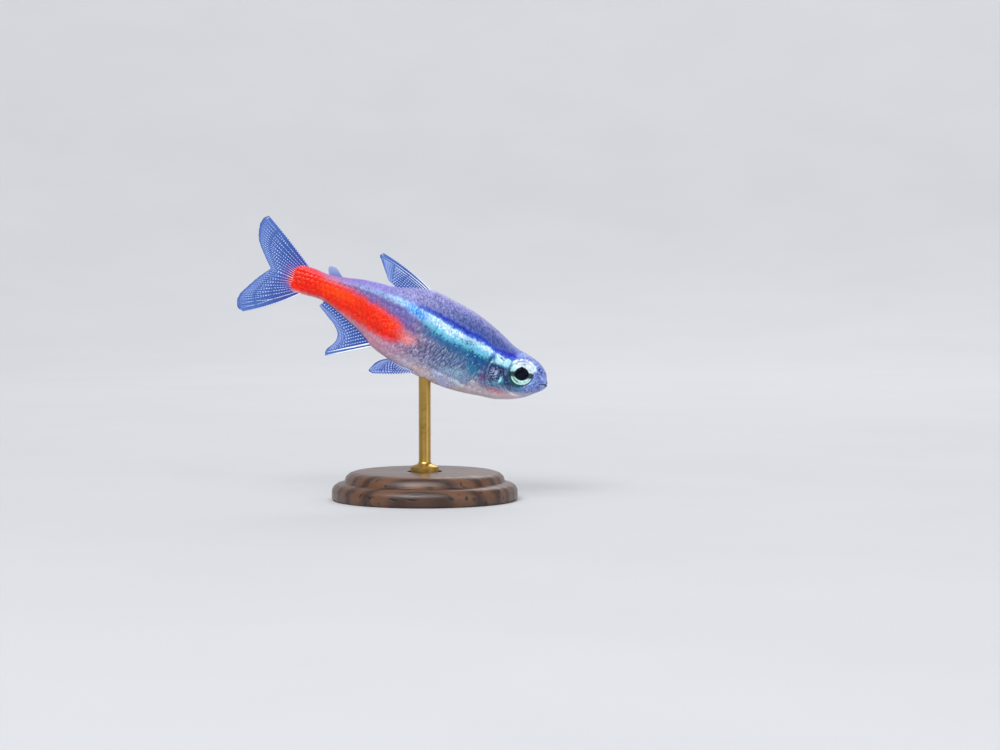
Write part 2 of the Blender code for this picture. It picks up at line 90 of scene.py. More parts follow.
EYE_BACK, EYE_UP, EYE_LEFT = 2.56, 0.10, 1.28
EYE_FORWARD = math.radians(10)
EYE_RADIUS = 1.12
MOUTH_TIP, MOUTH_CORNER = (-0.30, 0.14), (0.85, -0.28)
NOSTRILS = ((0.92, 0.86, 0.10), (1.20, 1.02, 0.13))
GILL_BACK, GILL_UP, GILL_RADIUS = 2.9, -0.5, 2.8
CHEEK_RADIUS = 1.92
SOCKET_DEPTH, SOCKET_RIM, SOCKET_CLEARANCE = 0.5, 0.05, 0.03
LIP_HEIGHT, MOUTH_DEPTH, JAW_HEIGHT, THROAT_HEIGHT = 0.035, 0.13, 0.04, 0.14
NOSTRIL_RIM, NOSTRIL_DEPTH = 0.035, 0.16
CHEEK_GROOVE, CHEEK_EDGE, ORBIT_GROOVE, BONE_GROOVE = 0.075, 0.030, 0.03, 0.02
GILL_EDGE, GILL_SLIT, GILL_SEAM, THROAT_FOLD = 0.08, 0.045, 0.03, 0.025


def smooth_line(places, values):
    """Values that run smoothly through the stations, as the CAD body's do."""
    places, values = np.array(places, float), np.array(values, float)
    steps = np.diff(places)
    slopes = np.diff(values) / steps
    inner = (slopes[:-1] * steps[1:] + slopes[1:] * steps[:-1]) / (steps[:-1] + steps[1:])
    tangents = np.concatenate((slopes[:1], inner, slopes[-1:]))

    def value_at(place):
        index = np.clip(np.searchsorted(places, place, side="right") - 1, 0, len(steps) - 1)
        share = (place - places[index]) / steps[index]
        rise = values[index + 1] - values[index]
        start, end = tangents[index] * steps[index], tangents[index + 1] * steps[index]
        curve = share * (start + end - 2 * rise) + 3 * rise - 2 * start - end
        return values[index] + share * (start + share * curve)

    return value_at


def outline(column):
    """A column of the stations as a smooth line, drawn over the root of the distance so that the
    snout comes out round."""
    by_root = smooth_line(
        [math.sqrt(row[1]) for row in BODY_STATIONS], [row[column] for row in BODY_STATIONS])
    return lambda back: by_root(np.sqrt(np.clip(back, 0.0, BODY_LENGTH)))


back_height, belly_height, half_width = (outline(column) for column in (2, 3, 4))


def ease(value, start, end):
    """0 up to the start, 1 from the end on, and smooth between them."""
    share = np.clip((value - start) / (end - start), 0.0, 1.0)
    return share * share * (3 - 2 * share)


def hump(value, middle, width):
    """1 in the middle, falling off to both sides."""
    return np.exp(-(((value - middle) / width) ** 2))


def body_point(back, around):
    """Back, left and up of the bare body, going round from the left side over the back."""
    top, bottom = back_height(back), belly_height(back)
    widest = bottom + WIDEST_SHARE * (top - bottom)
    above = np.sin(around) > 0
    power = 2.0 / np.where(above, BACK_FULLNESS, BELLY_FULLNESS)
    up = widest + np.abs(np.sin(around)) ** power * (np.where(above, top, bottom) - widest)
    left = np.sign(np.cos(around)) * np.abs(np.cos(around)) ** power * half_width(back)
    past = np.clip((back - TAIL_END_STARTS) / (TAIL_END - TAIL_END_STARTS), 0.0, 1.0)
    closing = np.sqrt(1.0 - past**2)
    wedge = 1.0 - TAIL_WEDGE * ease(back, TAIL_WEDGE_STARTS, TAIL_END)
    middle = (top + bottom) / 2
    return np.stack((back, left * wedge * closing, middle + (up - middle) * closing), axis=-1)


def pose():
    """World from the fish's level frame, in which x is forward, y left and z up, in metres."""
    turn = Matrix.Rotation(HEAD_DOWN, 4, "Y")
    held = turn @ Vector((-ROD_BACK, 0.0, float(belly_height(ROD_BACK))))
    return Matrix.Translation((Vector((0.0, 0.0, BELLY_OVER_FLOOR)) - held) * MM) @ turn


FISH = pose()


def in_world(points):
    """World places, in metres, of rows of back, left and up in millimetres."""
    level = np.asarray(points, float) * (-MM, MM, MM)
    return level @ np.array(FISH.to_3x3()).T + np.array(FISH.translation)


def head_relief(back, left, up):
    """How far the skin of the head stands out from the bare body, in millimetres."""
    (tip_back, tip_up), (corner_back, corner_up) = MOUTH_TIP, MOUTH_CORNER
    slope = (corner_up - tip_up) / (corner_back - tip_back)
    off_mouth = (up - tip_up - slope * (back - tip_back)) * math.cos(math.atan(slope))
    in_mouth = 1.0 - ease(back, corner_back - 0.35, corner_back + 0.05)
    lift = LIP_HEIGHT * in_mouth * (hump(off_mouth, 0.12, 0.08) + 1.6 * hump(off_mouth, -0.13, 0.11))
    lift -= MOUTH_DEPTH * in_mouth * hump(off_mouth, 0.0, 0.035)
    jaw_bone = hump(back, corner_back + 0.22, 0.13) * hump(up, corner_up - 0.25, 0.38)
    lift += JAW_HEIGHT * jaw_bone
    belly = belly_height(back)
    throat_fullness = ease(back, 0.6, 1.6) * (1.0 - ease(back, 3.8, 5.4))
    lift += THROAT_HEIGHT * (1.0 - ease(up, belly, belly + 1.3)) * throat_fullness
    for nostril_back, nostril_up, radius in NOSTRILS:
        away = np.hypot(back - nostril_back, up - nostril_up)
        lift += NOSTRIL_RIM * hump(away, radius * 1.25, radius * 0.35)
        lift -= NOSTRIL_DEPTH * hump(away, 0.0, radius * 0.8)

    from_eye = np.hypot(back - EYE_BACK, up - EYE_UP)
    turn = np.degrees(np.arctan2(up - EYE_UP, back - EYE_BACK))
    cheek = ease(turn, -125, -95) * (1.0 - ease(turn, 15, 40))
    lift -= CHEEK_GROOVE * cheek * hump(from_eye, CHEEK_RADIUS, 0.055)
    lift += CHEEK_EDGE * cheek * hump(from_eye, CHEEK_RADIUS + 0.16, 0.12)
    under_eye = (1.0 - ease(turn, -30, 0)) * ease(turn, -178, -150)
    lift -= ORBIT_GROOVE * under_eye * hump(from_eye, 1.55, 0.04)
    on_bones = ease(from_eye, 1.3, 1.4) * (1 - ease(from_eye, 1.8, 1.9))
    for bone_turn in (-140, -95, -52):
        lift -= BONE_GROOVE * hump(turn, bone_turn, 2.4) * on_bones

    from_gill = np.hypot(back - GILL_BACK, up - GILL_UP)
    gill_turn = np.degrees(np.arctan2(up - GILL_UP, back - GILL_BACK))
    open_edge = (1.0 - ease(up, 1.0, 1.9)) * ease(up, belly + 0.15, belly + 1.2)
    on_cover = ease(from_gill, GILL_RADIUS - 1.3, GILL_RADIUS - 0.1) * (
        1.0 - ease(from_gill, GILL_RADIUS - 0.05, GILL_RADIUS + 0.07))
    lift += open_edge * GILL_EDGE * on_cover
    lift -= open_edge * GILL_SLIT * hump(from_gill, GILL_RADIUS + 0.12, 0.13)
    seam = ease(gill_turn, -80, -60) * (1.0 - ease(gill_turn, -18, 0))
    lift -= GILL_SEAM * seam * hump(from_gill, GILL_RADIUS - 0.62, 0.04)
    throat = (1.0 - ease(gill_turn, -75, -58)) * ease(up, belly + 0.1, belly + 0.5)
    for fold in (0.28, 0.52, 0.76):
        lift -= THROAT_FOLD * throat * hump(from_gill, GILL_RADIUS - fold, 0.035)
    return lift


def socket_left(back, left, up):
    """The skin's half width round an eye: a bowl behind the eyeball and a low rim about it."""
    side = np.sign(left)
    from_eye = np.hypot((back - EYE_BACK) / math.cos(EYE_FORWARD), up - EYE_UP)
    plane = EYE_LEFT + (back - EYE_BACK) * math.tan(EYE_FORWARD)
    rim = plane + SOCKET_RIM * hump(from_eye, EYE_RADIUS + 0.1, 0.09) + SOCKET_CLEARANCE
    bowl = 1.0 - ease(from_eye, EYE_RADIUS - 0.14, EYE_RADIUS + 0.02)
    share = 1.0 - ease(from_eye, EYE_RADIUS + 0.12, EYE_RADIUS + 0.75)
    blended = np.abs(left) * (1.0 - share) + rim * share
    return side * (blended - SOCKET_DEPTH * bowl)


def smooth_mesh(name, bm):
    """The finished mesh of a shape, shaded smooth."""
    mesh = bpy.data.meshes.new(name)
    bm.to_mesh(mesh)
    bm.free()
    mesh.shade_smooth()
    return mesh


def make_skin_mesh():
    """A fine grid rolled up along the body, its rings closest at the snout, welded at its seam and
    ends, then raised in relief."""
    sides, rings, crowding = 224, 330, 1.6
    bm = bmesh.new()
    bmesh.ops.create_grid(bm, x_segments=sides, y_segments=rings, size=1.0)
    flat = np.array([vert.co for vert in bm.verts])
    around, along = flat[:, 0] * math.pi, (flat[:, 1] + 1) / 2
    points = body_point(TAIL_END * along**crowding, around)
    for vert, place in zip(bm.verts, in_world(points)):
        vert.co = place
    seam = [vert for vert in bm.verts if vert.is_boundary]
    bmesh.ops.remove_doubles(bm, verts=seam, dist=0.002 * MM)
    bmesh.ops.recalc_face_normals(bm, faces=bm.faces)
    bm.normal_update()
    level = np.array(FISH.to_3x3())
    places = np.array([vert.co for vert in bm.verts])
    outward = np.array([vert.normal for vert in bm.verts]) @ level * (-1.0, 1.0, 1.0)
    points = (places - np.array(FISH.translation)) @ level * (-1.0, 1.0, 1.0) / MM
    points += outward * head_relief(*points.T)[:, None]
    near_eye = (points[:, 0] < EYE_BACK + 2.2) & (np.abs(points[:, 1]) > 0.05)
    points[near_eye, 1] = socket_left(*points[near_eye].T)
    for vert, place in zip(bm.verts, in_world(points)):
        vert.co = place
    return smooth_mesh("skin", bm)


def linear_colour(code):
    """The linear colour of an sRGB hex value."""
    parts = [int(code[i : i + 2], 16) / 255 for i in (1, 3, 5)]
    linear = [p / 12.92 if p <= 0.04045 else ((p + 0.055) / 1.055) ** 2.4 for p in parts]
    return (*linear, 1.0)


def add_node(tree, kind, sockets=None, **settings):
    """A shader node with its settings; each of the sockets is given a value or a link."""
    node = tree.nodes.new("ShaderNode" + kind)
    for name, value in settings.items():
        setattr(node, name, value)
    for name, value in (sockets or {}).items():
        if isinstance(value, bpy.types.NodeSocket):
            tree.links.new(value, node.inputs[name])
        else:
            node.inputs[name].default_value = value
    return node


def soft_edge(tree, value, start, end):
    """0 at the start, 1 from the end on, and smooth between them, for a value in a material."""
    return add_node(
        tree, "MapRange", {"Value": value, "From Min": start, "From Max": end},
        interpolation_type="SMOOTHSTEP").outputs[0]


def brush(tree, ground):
    """A brush that lays a colour where all of its masks are, and the coats of colour it has laid."""
    coats = [linear_colour(ground)]

    def paint(code, *masks, strength=1.0):
        share = strength
        for mask in masks:
            share = add_node(tree, "Math", {0: share, 1: mask}, operation="MULTIPLY").outputs[0]
        coat = add_node(
            tree, "Mix", {0: share, 6: coats[-1], 7: linear_colour(code)}, data_type="RGBA")
        coats.append(coat.outputs[2])

    return paint, coats


def fine_grain(tree, size, detail=2.0):
    """An uneven grain, its grains about this many millimetres across."""
    at = add_node(tree, "TexCoord").outputs["Object"]
    grain = add_node(tree, "TexNoise", {"Vector": at, "Scale": 0.5 / (size * MM), "Detail": detail})
    return grain.outputs[0]


def new_finish(name, **values):
    """A material with one Principled shader, and that shader's own values."""
    material = bpy.data.materials.new(name)
    material.use_nodes = True
    shader = material.node_tree.nodes["Principled BSDF"]
    for socket, value in values.items():
        shader.inputs[socket.replace("_", " ")].default_value = value
    return material, material.node_tree, shader


# Lines along the flank, as back and up: the edges of the blue, pale and red bands, of the cheek
# and throat, and of the shaded strips that go with them.
BLUE_TOP = (
    (3.6, 1.45), (4.5, 1.42), (5.6, 1.42), (6.4, 1.7), (7.3, 1.86), (8.75, 2.06), (10, 2.2),
    (12.5, 2.38), (15, 2.4))
BLUE_SHADE = tuple((back, up + 0.85) for back, up in BLUE_TOP)
PALE_TOP = (
    (3.6, 0.76), (4.6, 0.9), (5.4, 0.9), (6.2, 1.15), (7.5, 1.25), (8.75, 1.42), (10, 1.58), (12.5, 1.95),
    (14.5, 2.14), (16.25, 2.12), (17.5, 2.05), (18.75, 1.92), (21, 1.62))
PALE_FOOT = (
    (3.6, 0.3), (4.2, 0.1), (5.2, 0.2), (6.25, 0.38), (8.75, 0.5), (10, 0.58), (11.25, 0.75), (12.5, 0.98),
    (13.75, 1.28), (15, 1.56), (17.5, 1.68), (20, 1.52))
PALE_CORE = tuple((back, up + 0.35) for back, up in PALE_FOOT)
PALE_LIP = tuple((back, up + 0.3) for back, up in PALE_TOP)
TEAL_RIM = tuple((back, up - 0.3) for back, up in PALE_FOOT)
TEAL_FOOT = tuple((back, up - 0.9) for back, up in PALE_FOOT)
RED_TOP = (
    (12.6, -0.75), (13.2, -0.45), (13.75, -0.2), (15, 0.2), (16.25, 0.52), (17.5, 0.75), (18.75, 0.95),
    (20, 1.15), (22.5, 1.28), (23.75, 1.5), (25, 1.6))
RED_FOOT = (
    (12.6, -0.95), (13.2, -1.3), (13.75, -1.5), (15, -1.68), (16.25, -1.55), (17.5, -1.4), (18.75, -1.2),
    (20, -1.0), (21.25, -0.74), (22.5, -0.6), (23.75, -0.7), (25, -0.95))
VIOLET_TOP = tuple((back, up + 0.5) for back, up in RED_TOP)
RED_CORE = ((12.6, -0.9), (15, -0.85), (17.5, -0.6), (20, -0.4), (25, -0.3))
EDGE_STOPS = (1, 2.5, 4, 6, 8.5, 11, 13, 15, 17, 19, 22, 25)
BACK_EDGE = tuple((back, float(back_height(back)) - 0.3) for back in EDGE_STOPS)
BELLY_EDGE = tuple((back, float(belly_height(back)) + 0.5) for back in EDGE_STOPS)
FLANK_FOOT = ((1, -0.6), (3, -1.4), (5, -2.0), (7, -2.3), (10, -2.6), (13, -2.3), (16, -1.8), (20, -1.1))
MOUTH_LINE = ((-0.3, 0.14), (0.0, 0.03), (0.4, -0.12), (0.85, -0.28))
MOUTH_LOW, MOUTH_HIGH = (tuple((back, up + off) for back, up in MOUTH_LINE) for off in (-0.05, 0.05))
STALK_FOOT = tuple((back, float(belly_height(back)) + 0.22) for back in EDGE_STOPS)
GILL_TOP = ((1, 0.2), (8, 0.2))
CHEEK_FOOT = ((1, -1.6), (6, -1.6))
CHEEK_TOP = ((1, -0.9), (2.5, -0.9), (3.5, -0.2), (4.2, 0.05), (5.3, 0.1), (6.2, -0.1))
THROAT_TOP = ((0.5, -0.95), (2, -1.6), (3.5, -2.1), (5, -2.4), (6.5, -2.8))
BROW_FOOT = ((1.2, 0.85), (1.7, 0.66), (2.6, 0.4), (3.5, 0.04), (3.8, -0.1))


def make_marks():
    """The hide's colours by place, as one group that skin and scales share.

    Its outputs are the colour, and how much of the shining pale band is there.
    """
    tree = bpy.data.node_groups.new("fish_marks", "ShaderNodeTree")
    tree.interface.new_socket("Colour", in_out="OUTPUT", socket_type="NodeSocketColor")
    tree.interface.new_socket("Shine", in_out="OUTPUT", socket_type="NodeSocketFloat")
    at = add_node(tree, "TexCoord").outputs["Object"]
    place = add_node(
        tree, "Mapping",
        {"Vector": at, "Location": FISH.translation, "Rotation": (0.0, HEAD_DOWN, 0.0),
         "Scale": (-MM, MM, MM)},
        vector_type="TEXTURE").outputs[0]

    def streaks(size, length, lean=0.0):
        """Grain of this size in millimetres, drawn out over this many times its size, and leaning
        forwards from upright by this many degrees."""
        drawn = add_node(
            tree, "Mapping",
            {"Vector": at, "Rotation": (0.0, math.radians(lean), 0.0), "Scale": (MM, MM, MM * length)},
            vector_type="TEXTURE")
        grain = add_node(
            tree, "TexNoise",
            {"Vector": drawn.outputs[0], "Scale": 0.5 / size, "Detail": 2.0, "Roughness": 0.6})
        return grain.outputs[0]

    axes = add_node(tree, "SeparateXYZ", {"Vector": place})
    drift = add_node(tree, "TexNoise", {"Vector": place, "Scale": 1.4, "Detail": 2.0})
    soft_up = add_node(
        tree, "Math", {0: drift.outputs[0], 1: 0.5, 2: axes.outputs["Z"]}, operation="MULTIPLY_ADD")
    ragged_up = add_node(
        tree, "Math", {0: streaks(0.07, 2.2), 1: 0.4, 2: soft_up.outputs[0]}, operation="MULTIPLY_ADD")
    up = add_node(tree, "Math", {0: ragged_up.outputs[0], 1: 0.45}, operation="SUBTRACT").outputs[0]
    aside = add_node(tree, "Math", {0: drift.outputs["Color"], 1: 0.5}, operation="SUBTRACT")
    back = add_node(
        tree, "Math", {0: aside.outputs[0], 1: 0.6, 2: axes.outputs["X"]},
        operation="MULTIPLY_ADD").outputs[0]

    def over(line, soft):
        """0 below a line along the fish, 1 above it."""
        span, reach = 30.0, 5.0
        share = add_node(tree, "Math", {0: back, 1: span}, operation="DIVIDE")
        curve = add_node(tree, "FloatCurve", {"Value": share.outputs[0]})
        points = curve.mapping.curves[0].points
        keys = [(line_back / span, (line_up + reach) / (2 * reach)) for line_back, line_up in line]
        points[0].location, points[1].location = keys[0], keys[-1]
        for key in keys[1:-1]:
            points.new(*key)
        curve.mapping.update()
        height = add_node(
            tree, "Math", {0: curve.outputs[0], 1: 2 * reach, 2: -reach}, operation="MULTIPLY_ADD")
        above = add_node(tree, "Math", {0: up, 1: height.outputs[0]}, operation="SUBTRACT")
        return soft_edge(tree, above.outputs[0], -soft, soft)

    def under(line, soft):
        return add_node(tree, "Math", {0: 1.0, 1: over(line, soft)}, operation="SUBTRACT").outputs[0]

    def behind(start, soft):
        return soft_edge(tree, back, start - soft, start + soft)

    def before(end, soft):
        return soft_edge(tree, back, end + soft, end - soft)

    def spot(spot_back, spot_up, reach_back, reach_up, core=0.35):
        """1 in the middle of a soft oval, 0 past its edge."""
        flat = add_node(tree, "CombineXYZ", {"X": back, "Y": up})
        off = add_node(
            tree, "VectorMath", {0: flat.outputs[0], 1: (spot_back, spot_up, 0.0)}, operation="SUBTRACT")
        shaped = add_node(
            tree, "VectorMath", {0: off.outputs[0], 1: (reach_back, reach_up, 1.0)}, operation="DIVIDE")
        far = add_node(tree, "VectorMath", {0: shaped.outputs[0]}, operation="LENGTH")
        return soft_edge(tree, far.outputs["Value"], 1.0, core)

    def ring(ring_back, ring_up, radius, width):
        """1 along a circle's line, 0 away from it."""
        flat = add_node(tree, "CombineXYZ", {"X": axes.outputs["X"], "Y": axes.outputs["Z"]})
        far = add_node(
            tree, "VectorMath", {0: flat.outputs[0], 1: (ring_back, ring_up, 0.0)}, operation="DISTANCE")
        off = add_node(tree, "Math", {0: far.outputs["Value"], 1: radius}, operation="SUBTRACT")
        away = add_node(tree, "Math", {0: off.outputs[0]}, operation="ABSOLUTE")
        return soft_edge(tree, away.outputs[0], width, 0.3 * width)

    # One pigment cell is about 0.03 mm across, too fine to show, so the flecks are drawn as groups
    # of cells, 0.06 to 0.14 mm across.
    def flecks(size, cover, length=1.0, lean=0.0):
        """Irregular flecks of this size in millimetres, over about this share of the area."""
        edge = 0.68 - 0.36 * cover
        return soft_edge(tree, streaks(size, length, lean), edge - 0.08, edge + 0.08)

    # Flank and belly: grey blue, pinker to the rear, teal behind the gill cover, and pale below.
    paint, coats = brush(tree, "#c4bccc")
    paint("#566a94", over(FLANK_FOOT, 0.8))
    paint("#8b769a", over(FLANK_FOOT, 0.9), behind(11.2, 1.8))
    paint("#a4748c", spot(13.0, -0.6, 1.6, 1.3, 0.1), strength=0.6)
    paint("#ac688e", spot(14.6, -2.2, 2.4, 1.0, 0.2), strength=0.8)
    paint("#8cbcca", spot(7.9, -2.3, 2.0, 0.9, 0.2), strength=0.8)
    paint("#bcc6dc", flecks(0.07, 0.38, 3.4, 38.0), strength=0.6)
    paint("#26325e", flecks(0.065, 0.42, 3.4, 38.0), over(FLANK_FOOT, 0.8), strength=0.65)
    paint("#2c5684", over(TEAL_FOOT, 0.9), before(11.0, 2.2), behind(5.4, 0.4), strength=0.6)
    paint("#14588e", over(TEAL_FOOT, 0.4), before(12.6, 1.6), behind(5.4, 0.4), strength=0.8)
    paint("#054880", spot(6.9, -0.45, 1.4, 1.3, 0.3), strength=0.9)
    paint("#2c7a9c", spot(6.9, -1.3, 0.9, 0.8, 0.2), strength=0.7)
    paint("#0c3c68", spot(8.0, -0.4, 3.2, 1.3, 0.2), flecks(0.08, 0.38, 2.4, 20.0), strength=0.6)
    paint("#5c94bc", spot(7.8, -0.9, 2.4, 1.3, 0.2), flecks(0.06, 0.3, 2.2, 38.0), strength=0.55)
    for dot_back, dot_up, reach in (
            (7.76, -0.16, 0.12), (7.13, -0.03, 0.10), (7.1, -0.65, 0.11), (7.26, -1.25, 0.09),
            (6.5, -0.5, 0.08), (8.3, -0.6, 0.09)):
        paint("#7cc0e0", spot(dot_back, dot_up, reach, reach, 0.1), strength=0.85)
    paint("#dfd0d6", under(BELLY_EDGE, 0.5), before(14.0, 1.4), strength=0.8)
    paint("#d0aea4", spot(11.6, -3.1, 1.5, 0.5, 0.1), strength=0.6)
    paint("#a8788c", under(FLANK_FOOT, 0.5), flecks(0.08, 0.3, 1.5, 30.0), strength=0.45)
    paint("#b07f9c", under(FLANK_FOOT, 0.6), behind(13.2, 1.2), strength=0.6)
    paint("#fff4ee", under(FLANK_FOOT, 0.5), flecks(0.08, 0.24, 2.0, 30.0), strength=0.4)
    # Painted highlights: a row of white shining spots along the lower flank.
    for patch in (
            spot(7.7, -2.95, 1.1, 0.3, 0.4), spot(9.6, -2.8, 0.7, 0.16, 0.4),
            spot(6.4, -2.3, 0.3, 0.2, 0.3)):
        paint("#f0fffc", patch, flecks(0.12, 0.7, 1.0, 60.0), strength=0.85)

    # Back: lavender grey with fine upright grain, darker by the blue band, with a painted highlight along
    # its ridge.
    on_back = over(BLUE_TOP, 0.3)
    paint("#727cb4", on_back)
    paint("#8c8ac4", on_back, behind(10.2, 1.4), strength=0.7)
    paint("#384280", on_back, flecks(0.075, 0.45, 2.2), strength=0.7)
    paint("#b2acdc", on_back, flecks(0.07, 0.4, 1.8), strength=0.55)
    paint("#29458c", on_back, under(BLUE_SHADE, 0.7), before(11.5, 3.0), strength=0.8)
    paint("#1c2c66", on_back, under(BLUE_SHADE, 0.4), before(13.0, 1.0), flecks(0.08, 0.36, 3.0),
          strength=0.55)
    # A painted highlight along the back's ridge: pale flecks near the top, and a thin pale line at the
    # very edge behind the head.
    paint("#a49cce", over(BACK_EDGE, 0.4), flecks(0.08, 0.45), strength=0.3)
    paint("#a8a6da", over(BACK_EDGE, 0.1), behind(3.0, 1.0), strength=0.25)

    # The blue band, most violet over the gill cover, lighter where it meets the pale band.
    blue = over(PALE_TOP, 0.18), under(BLUE_TOP, 0.2), before(13.4, 1.0)
    paint("#0a2aa6", *blue)
    paint("#2012b4", *blue, before(5.6, 0.5), strength=0.9)
    paint("#3a62de", *blue, flecks(0.07, 0.34, 1.8), strength=0.5)
    paint("#14206a", *blue, flecks(0.08, 0.38, 2.2), strength=0.65)
    paint("#5a84e6", over(PALE_TOP, 0.14), under(PALE_LIP, 0.14), before(17.0, 2.0), strength=0.4)

    # The pale band: white and cyan, turquoise along its foot, light blue and crossed by a few dark
    # lines to the rear, then broken into dots.
    pale = over(PALE_FOOT, 0.22), under(PALE_TOP, 0.16), before(20.4, 1.6)
    paint("#a6d6f2", *pale, before(16.0, 1.5))
    paint("#8cb8f2", *pale, behind(15.2, 1.2), flecks(0.13, 0.6), strength=0.9)
    paint("#50b4d4", *pale, under(PALE_CORE, 0.25), before(12.6, 1.0), strength=0.9)
    paint("#2484e2", *pale, spot(13.6, 1.5, 1.9, 1.4, 0.3), strength=0.9)
    paint("#3a80b4", *pale, flecks(0.06, 0.4, 1.8), strength=0.5)
    paint("#e4f8ff", *pale, over(PALE_CORE, 0.3), flecks(0.08, 0.5, 1.5), before(12.6, 1.4),
          strength=0.8)
    paint("#b4dcff", *pale, behind(12.8, 1.2), flecks(0.08, 0.36, 1.5), before(16.5, 1.5),
          strength=0.7)
    paint("#58c2d2", over(TEAL_RIM, 0.25), under(PALE_FOOT, 0.25), before(12.4, 0.8),
          flecks(0.08, 0.5), strength=0.85)
    paint("#2a6ca8", *pale, spot(8.1, 1.0, 1.2, 0.35, 0.2), flecks(0.08, 0.5, 1.5), strength=0.7)
    paint("#142038", spot(8.3, 0.88, 1.1, 0.28, 0.4), flecks(0.08, 0.4))
    for line_back, line_up, reach in ((13.45, 1.55, 0.5), (12.75, 1.3, 0.75), (11.3, 0.95, 0.85)):
        paint("#14508e", spot(line_back, line_up, 0.06, reach, 0.1), strength=0.7)
    paint("#0e4c74", spot(5.55, 0.35, 0.42, 0.6, 0.4), strength=0.95)
    paint("#3f7cd8", spot(5.6, 0.75, 0.3, 0.3, 0.2), strength=0.8)
    paint("#a4ecff", spot(5.4, 0.16, 0.18, 0.18, 0.3))

    # Violet between the pale band and the red, lilac over and pink under the tail stalk.
    between = under(PALE_FOOT, 0.35), over(RED_TOP, 0.4), behind(13.4, 1.0)
    paint("#585ca6", *between, before(22.0, 1.5), strength=0.9)
    paint("#743c80", *between, under(VIOLET_TOP, 0.5), strength=0.9)
    paint("#38366e", *between, flecks(0.06, 0.42, 1.6), strength=0.55)
    paint("#b496c4", *between, flecks(0.06, 0.36, 1.6), strength=0.35)
    rear_back = over(PALE_TOP, 0.25), behind(16.4, 1.2)
    paint("#9088d2", *rear_back, strength=0.8)
    paint("#5c55a4", *rear_back, flecks(0.06, 0.42, 1.6), strength=0.5)
    paint("#7c68bc", *rear_back, behind(19.0, 1.0), strength=0.6)
    paint("#b4789c", over(BACK_EDGE, 0.25), behind(20.5, 1.5), before(24.4, 0.6), strength=0.6)
    paint("#c88498", under(RED_FOOT, 0.3), behind(15.4, 1.2), strength=0.75)
    paint("#e4b4bc", under(STALK_FOOT, 0.16), behind(17.0, 1.2), strength=0.7)

    # The red band: stippled at its rosy front end and edges, crimson low down, orange along the
    # stalk, with a ragged end before the tail fin.
    paint("#f28e8a", spot(13.5, -1.0, 1.5, 0.9, 0.1), flecks(0.07, 0.75, 1.8, 38.0), strength=0.85)
    red = over(RED_FOOT, 0.42), under(RED_TOP, 0.45), behind(14.2, 0.9)
    paint("#f4705e", over(RED_FOOT, 0.7), under(RED_TOP, 0.75), behind(13.8, 0.8),
          flecks(0.055, 0.55, 1.6, 38.0), strength=0.7)
    paint("#ec1800", *red)
    paint("#e20600", *red, behind(22.8, 0.9), strength=0.8)
    paint("#dc0408", *red, under(RED_CORE, 0.45), before(18.4, 1.6), strength=0.8)
    paint("#f84200", *red, spot(20.6, 0.4, 3.0, 0.75, 0.1), strength=0.85)
    paint("#ff6648", *red, before(16.4, 1.5), over(RED_CORE, 0.4), flecks(0.06, 0.45, 1.5, 38.0),
          strength=0.6)
    paint("#b01002", *red, flecks(0.06, 0.36, 1.5, 38.0), strength=0.3)
    paint("#ff6a1c", *red, flecks(0.06, 0.36, 1.5, 38.0), strength=0.3)
    paint("#7a3070", behind(25.2, 0.3), flecks(0.06, 0.6), strength=0.7)
    paint("#482a68", behind(25.45, 0.2), strength=0.9)

    # The head: lavender blue with fine dark and light grain, a painted highlight along its top, blue
    # before the eye, with painted shade in the groove between the lips, a dark spangled cheek and a rosy
    # throat.
    nape = before(4.9, 1.5), over(BACK_EDGE, 0.6)
    paint("#7f8dcc", *nape, strength=0.8)
    paint("#a8b4e8", *nape, flecks(0.08, 0.45, 1.2, 40.0), strength=0.6)
    paint("#34489a", *nape, flecks(0.08, 0.42), strength=0.6)
    head = before(3.45, 0.3), over(THROAT_TOP, 0.3)
    paint("#7088cc", *head)
    # A painted highlight along the top of the head.
    paint("#8c96d8", *head, over(BACK_EDGE, 0.3), strength=0.6)
    paint("#3a54a4", spot(1.1, 0.5, 0.45, 1.0, 0.3), strength=0.75)
    paint("#6ca0e4", spot(1.5, -0.1, 0.4, 0.8, 0.3), strength=0.9)
    paint("#b4c2f4", *head, flecks(0.08, 0.45, 1.2, 40.0), strength=0.7)
    paint("#30449c", *head, flecks(0.08, 0.42), strength=0.7)
    paint("#b8c6f0", spot(0.2, -0.35, 0.5, 0.35, 0.2), strength=0.6)
    paint("#a4b4ea", spot(0.25, 0.4, 0.45, 0.25, 0.2), strength=0.5)
    cheek = behind(2.6, 0.8), before(5.6, 0.3), under(CHEEK_TOP, 0.25), over(THROAT_TOP, 0.4)
    paint("#1e3666", *cheek)
    paint("#8caaca", *cheek, under(CHEEK_FOOT, 0.5), strength=0.85)
    paint("#141c40", *cheek, flecks(0.06, 0.5, 1.6), strength=0.75)
    paint("#2a1e50", spot(4.1, -0.35, 0.65, 0.45, 0.3), strength=0.85)
    paint("#1e1a44", spot(5.0, -1.0, 0.75, 0.75, 0.3), strength=0.8)
    paint("#80acd0", *cheek, flecks(0.055, 0.3, 2.0), strength=0.4)
    paint("#b8c4ec", spot(4.95, -0.9, 0.65, 0.7, 0.4), flecks(0.055, 0.38, 3.0, 55.0), strength=0.8)
    paint("#4cacc8", spot(4.1, -1.2, 0.45, 0.5, 0.3), flecks(0.09, 0.7, 1.6), strength=0.9)
    paint("#60a4c4", spot(4.5, -1.6, 0.35, 0.3, 0.2), strength=0.7)
    paint("#d8fbff", spot(4.15, -1.15, 0.15, 0.4, 0.2), strength=0.9)
    paint("#8a94cc", spot(3.85, -0.05, 0.06, 0.35, 0.3), strength=0.7)
    paint("#6a4888", spot(5.75, -1.6, 0.6, 0.7, 0.1), strength=0.85)
    throat = under(THROAT_TOP, 0.4), behind(2.0, 0.7), before(7.0, 1.0)
    paint("#d4c2d2", *throat, strength=0.85)
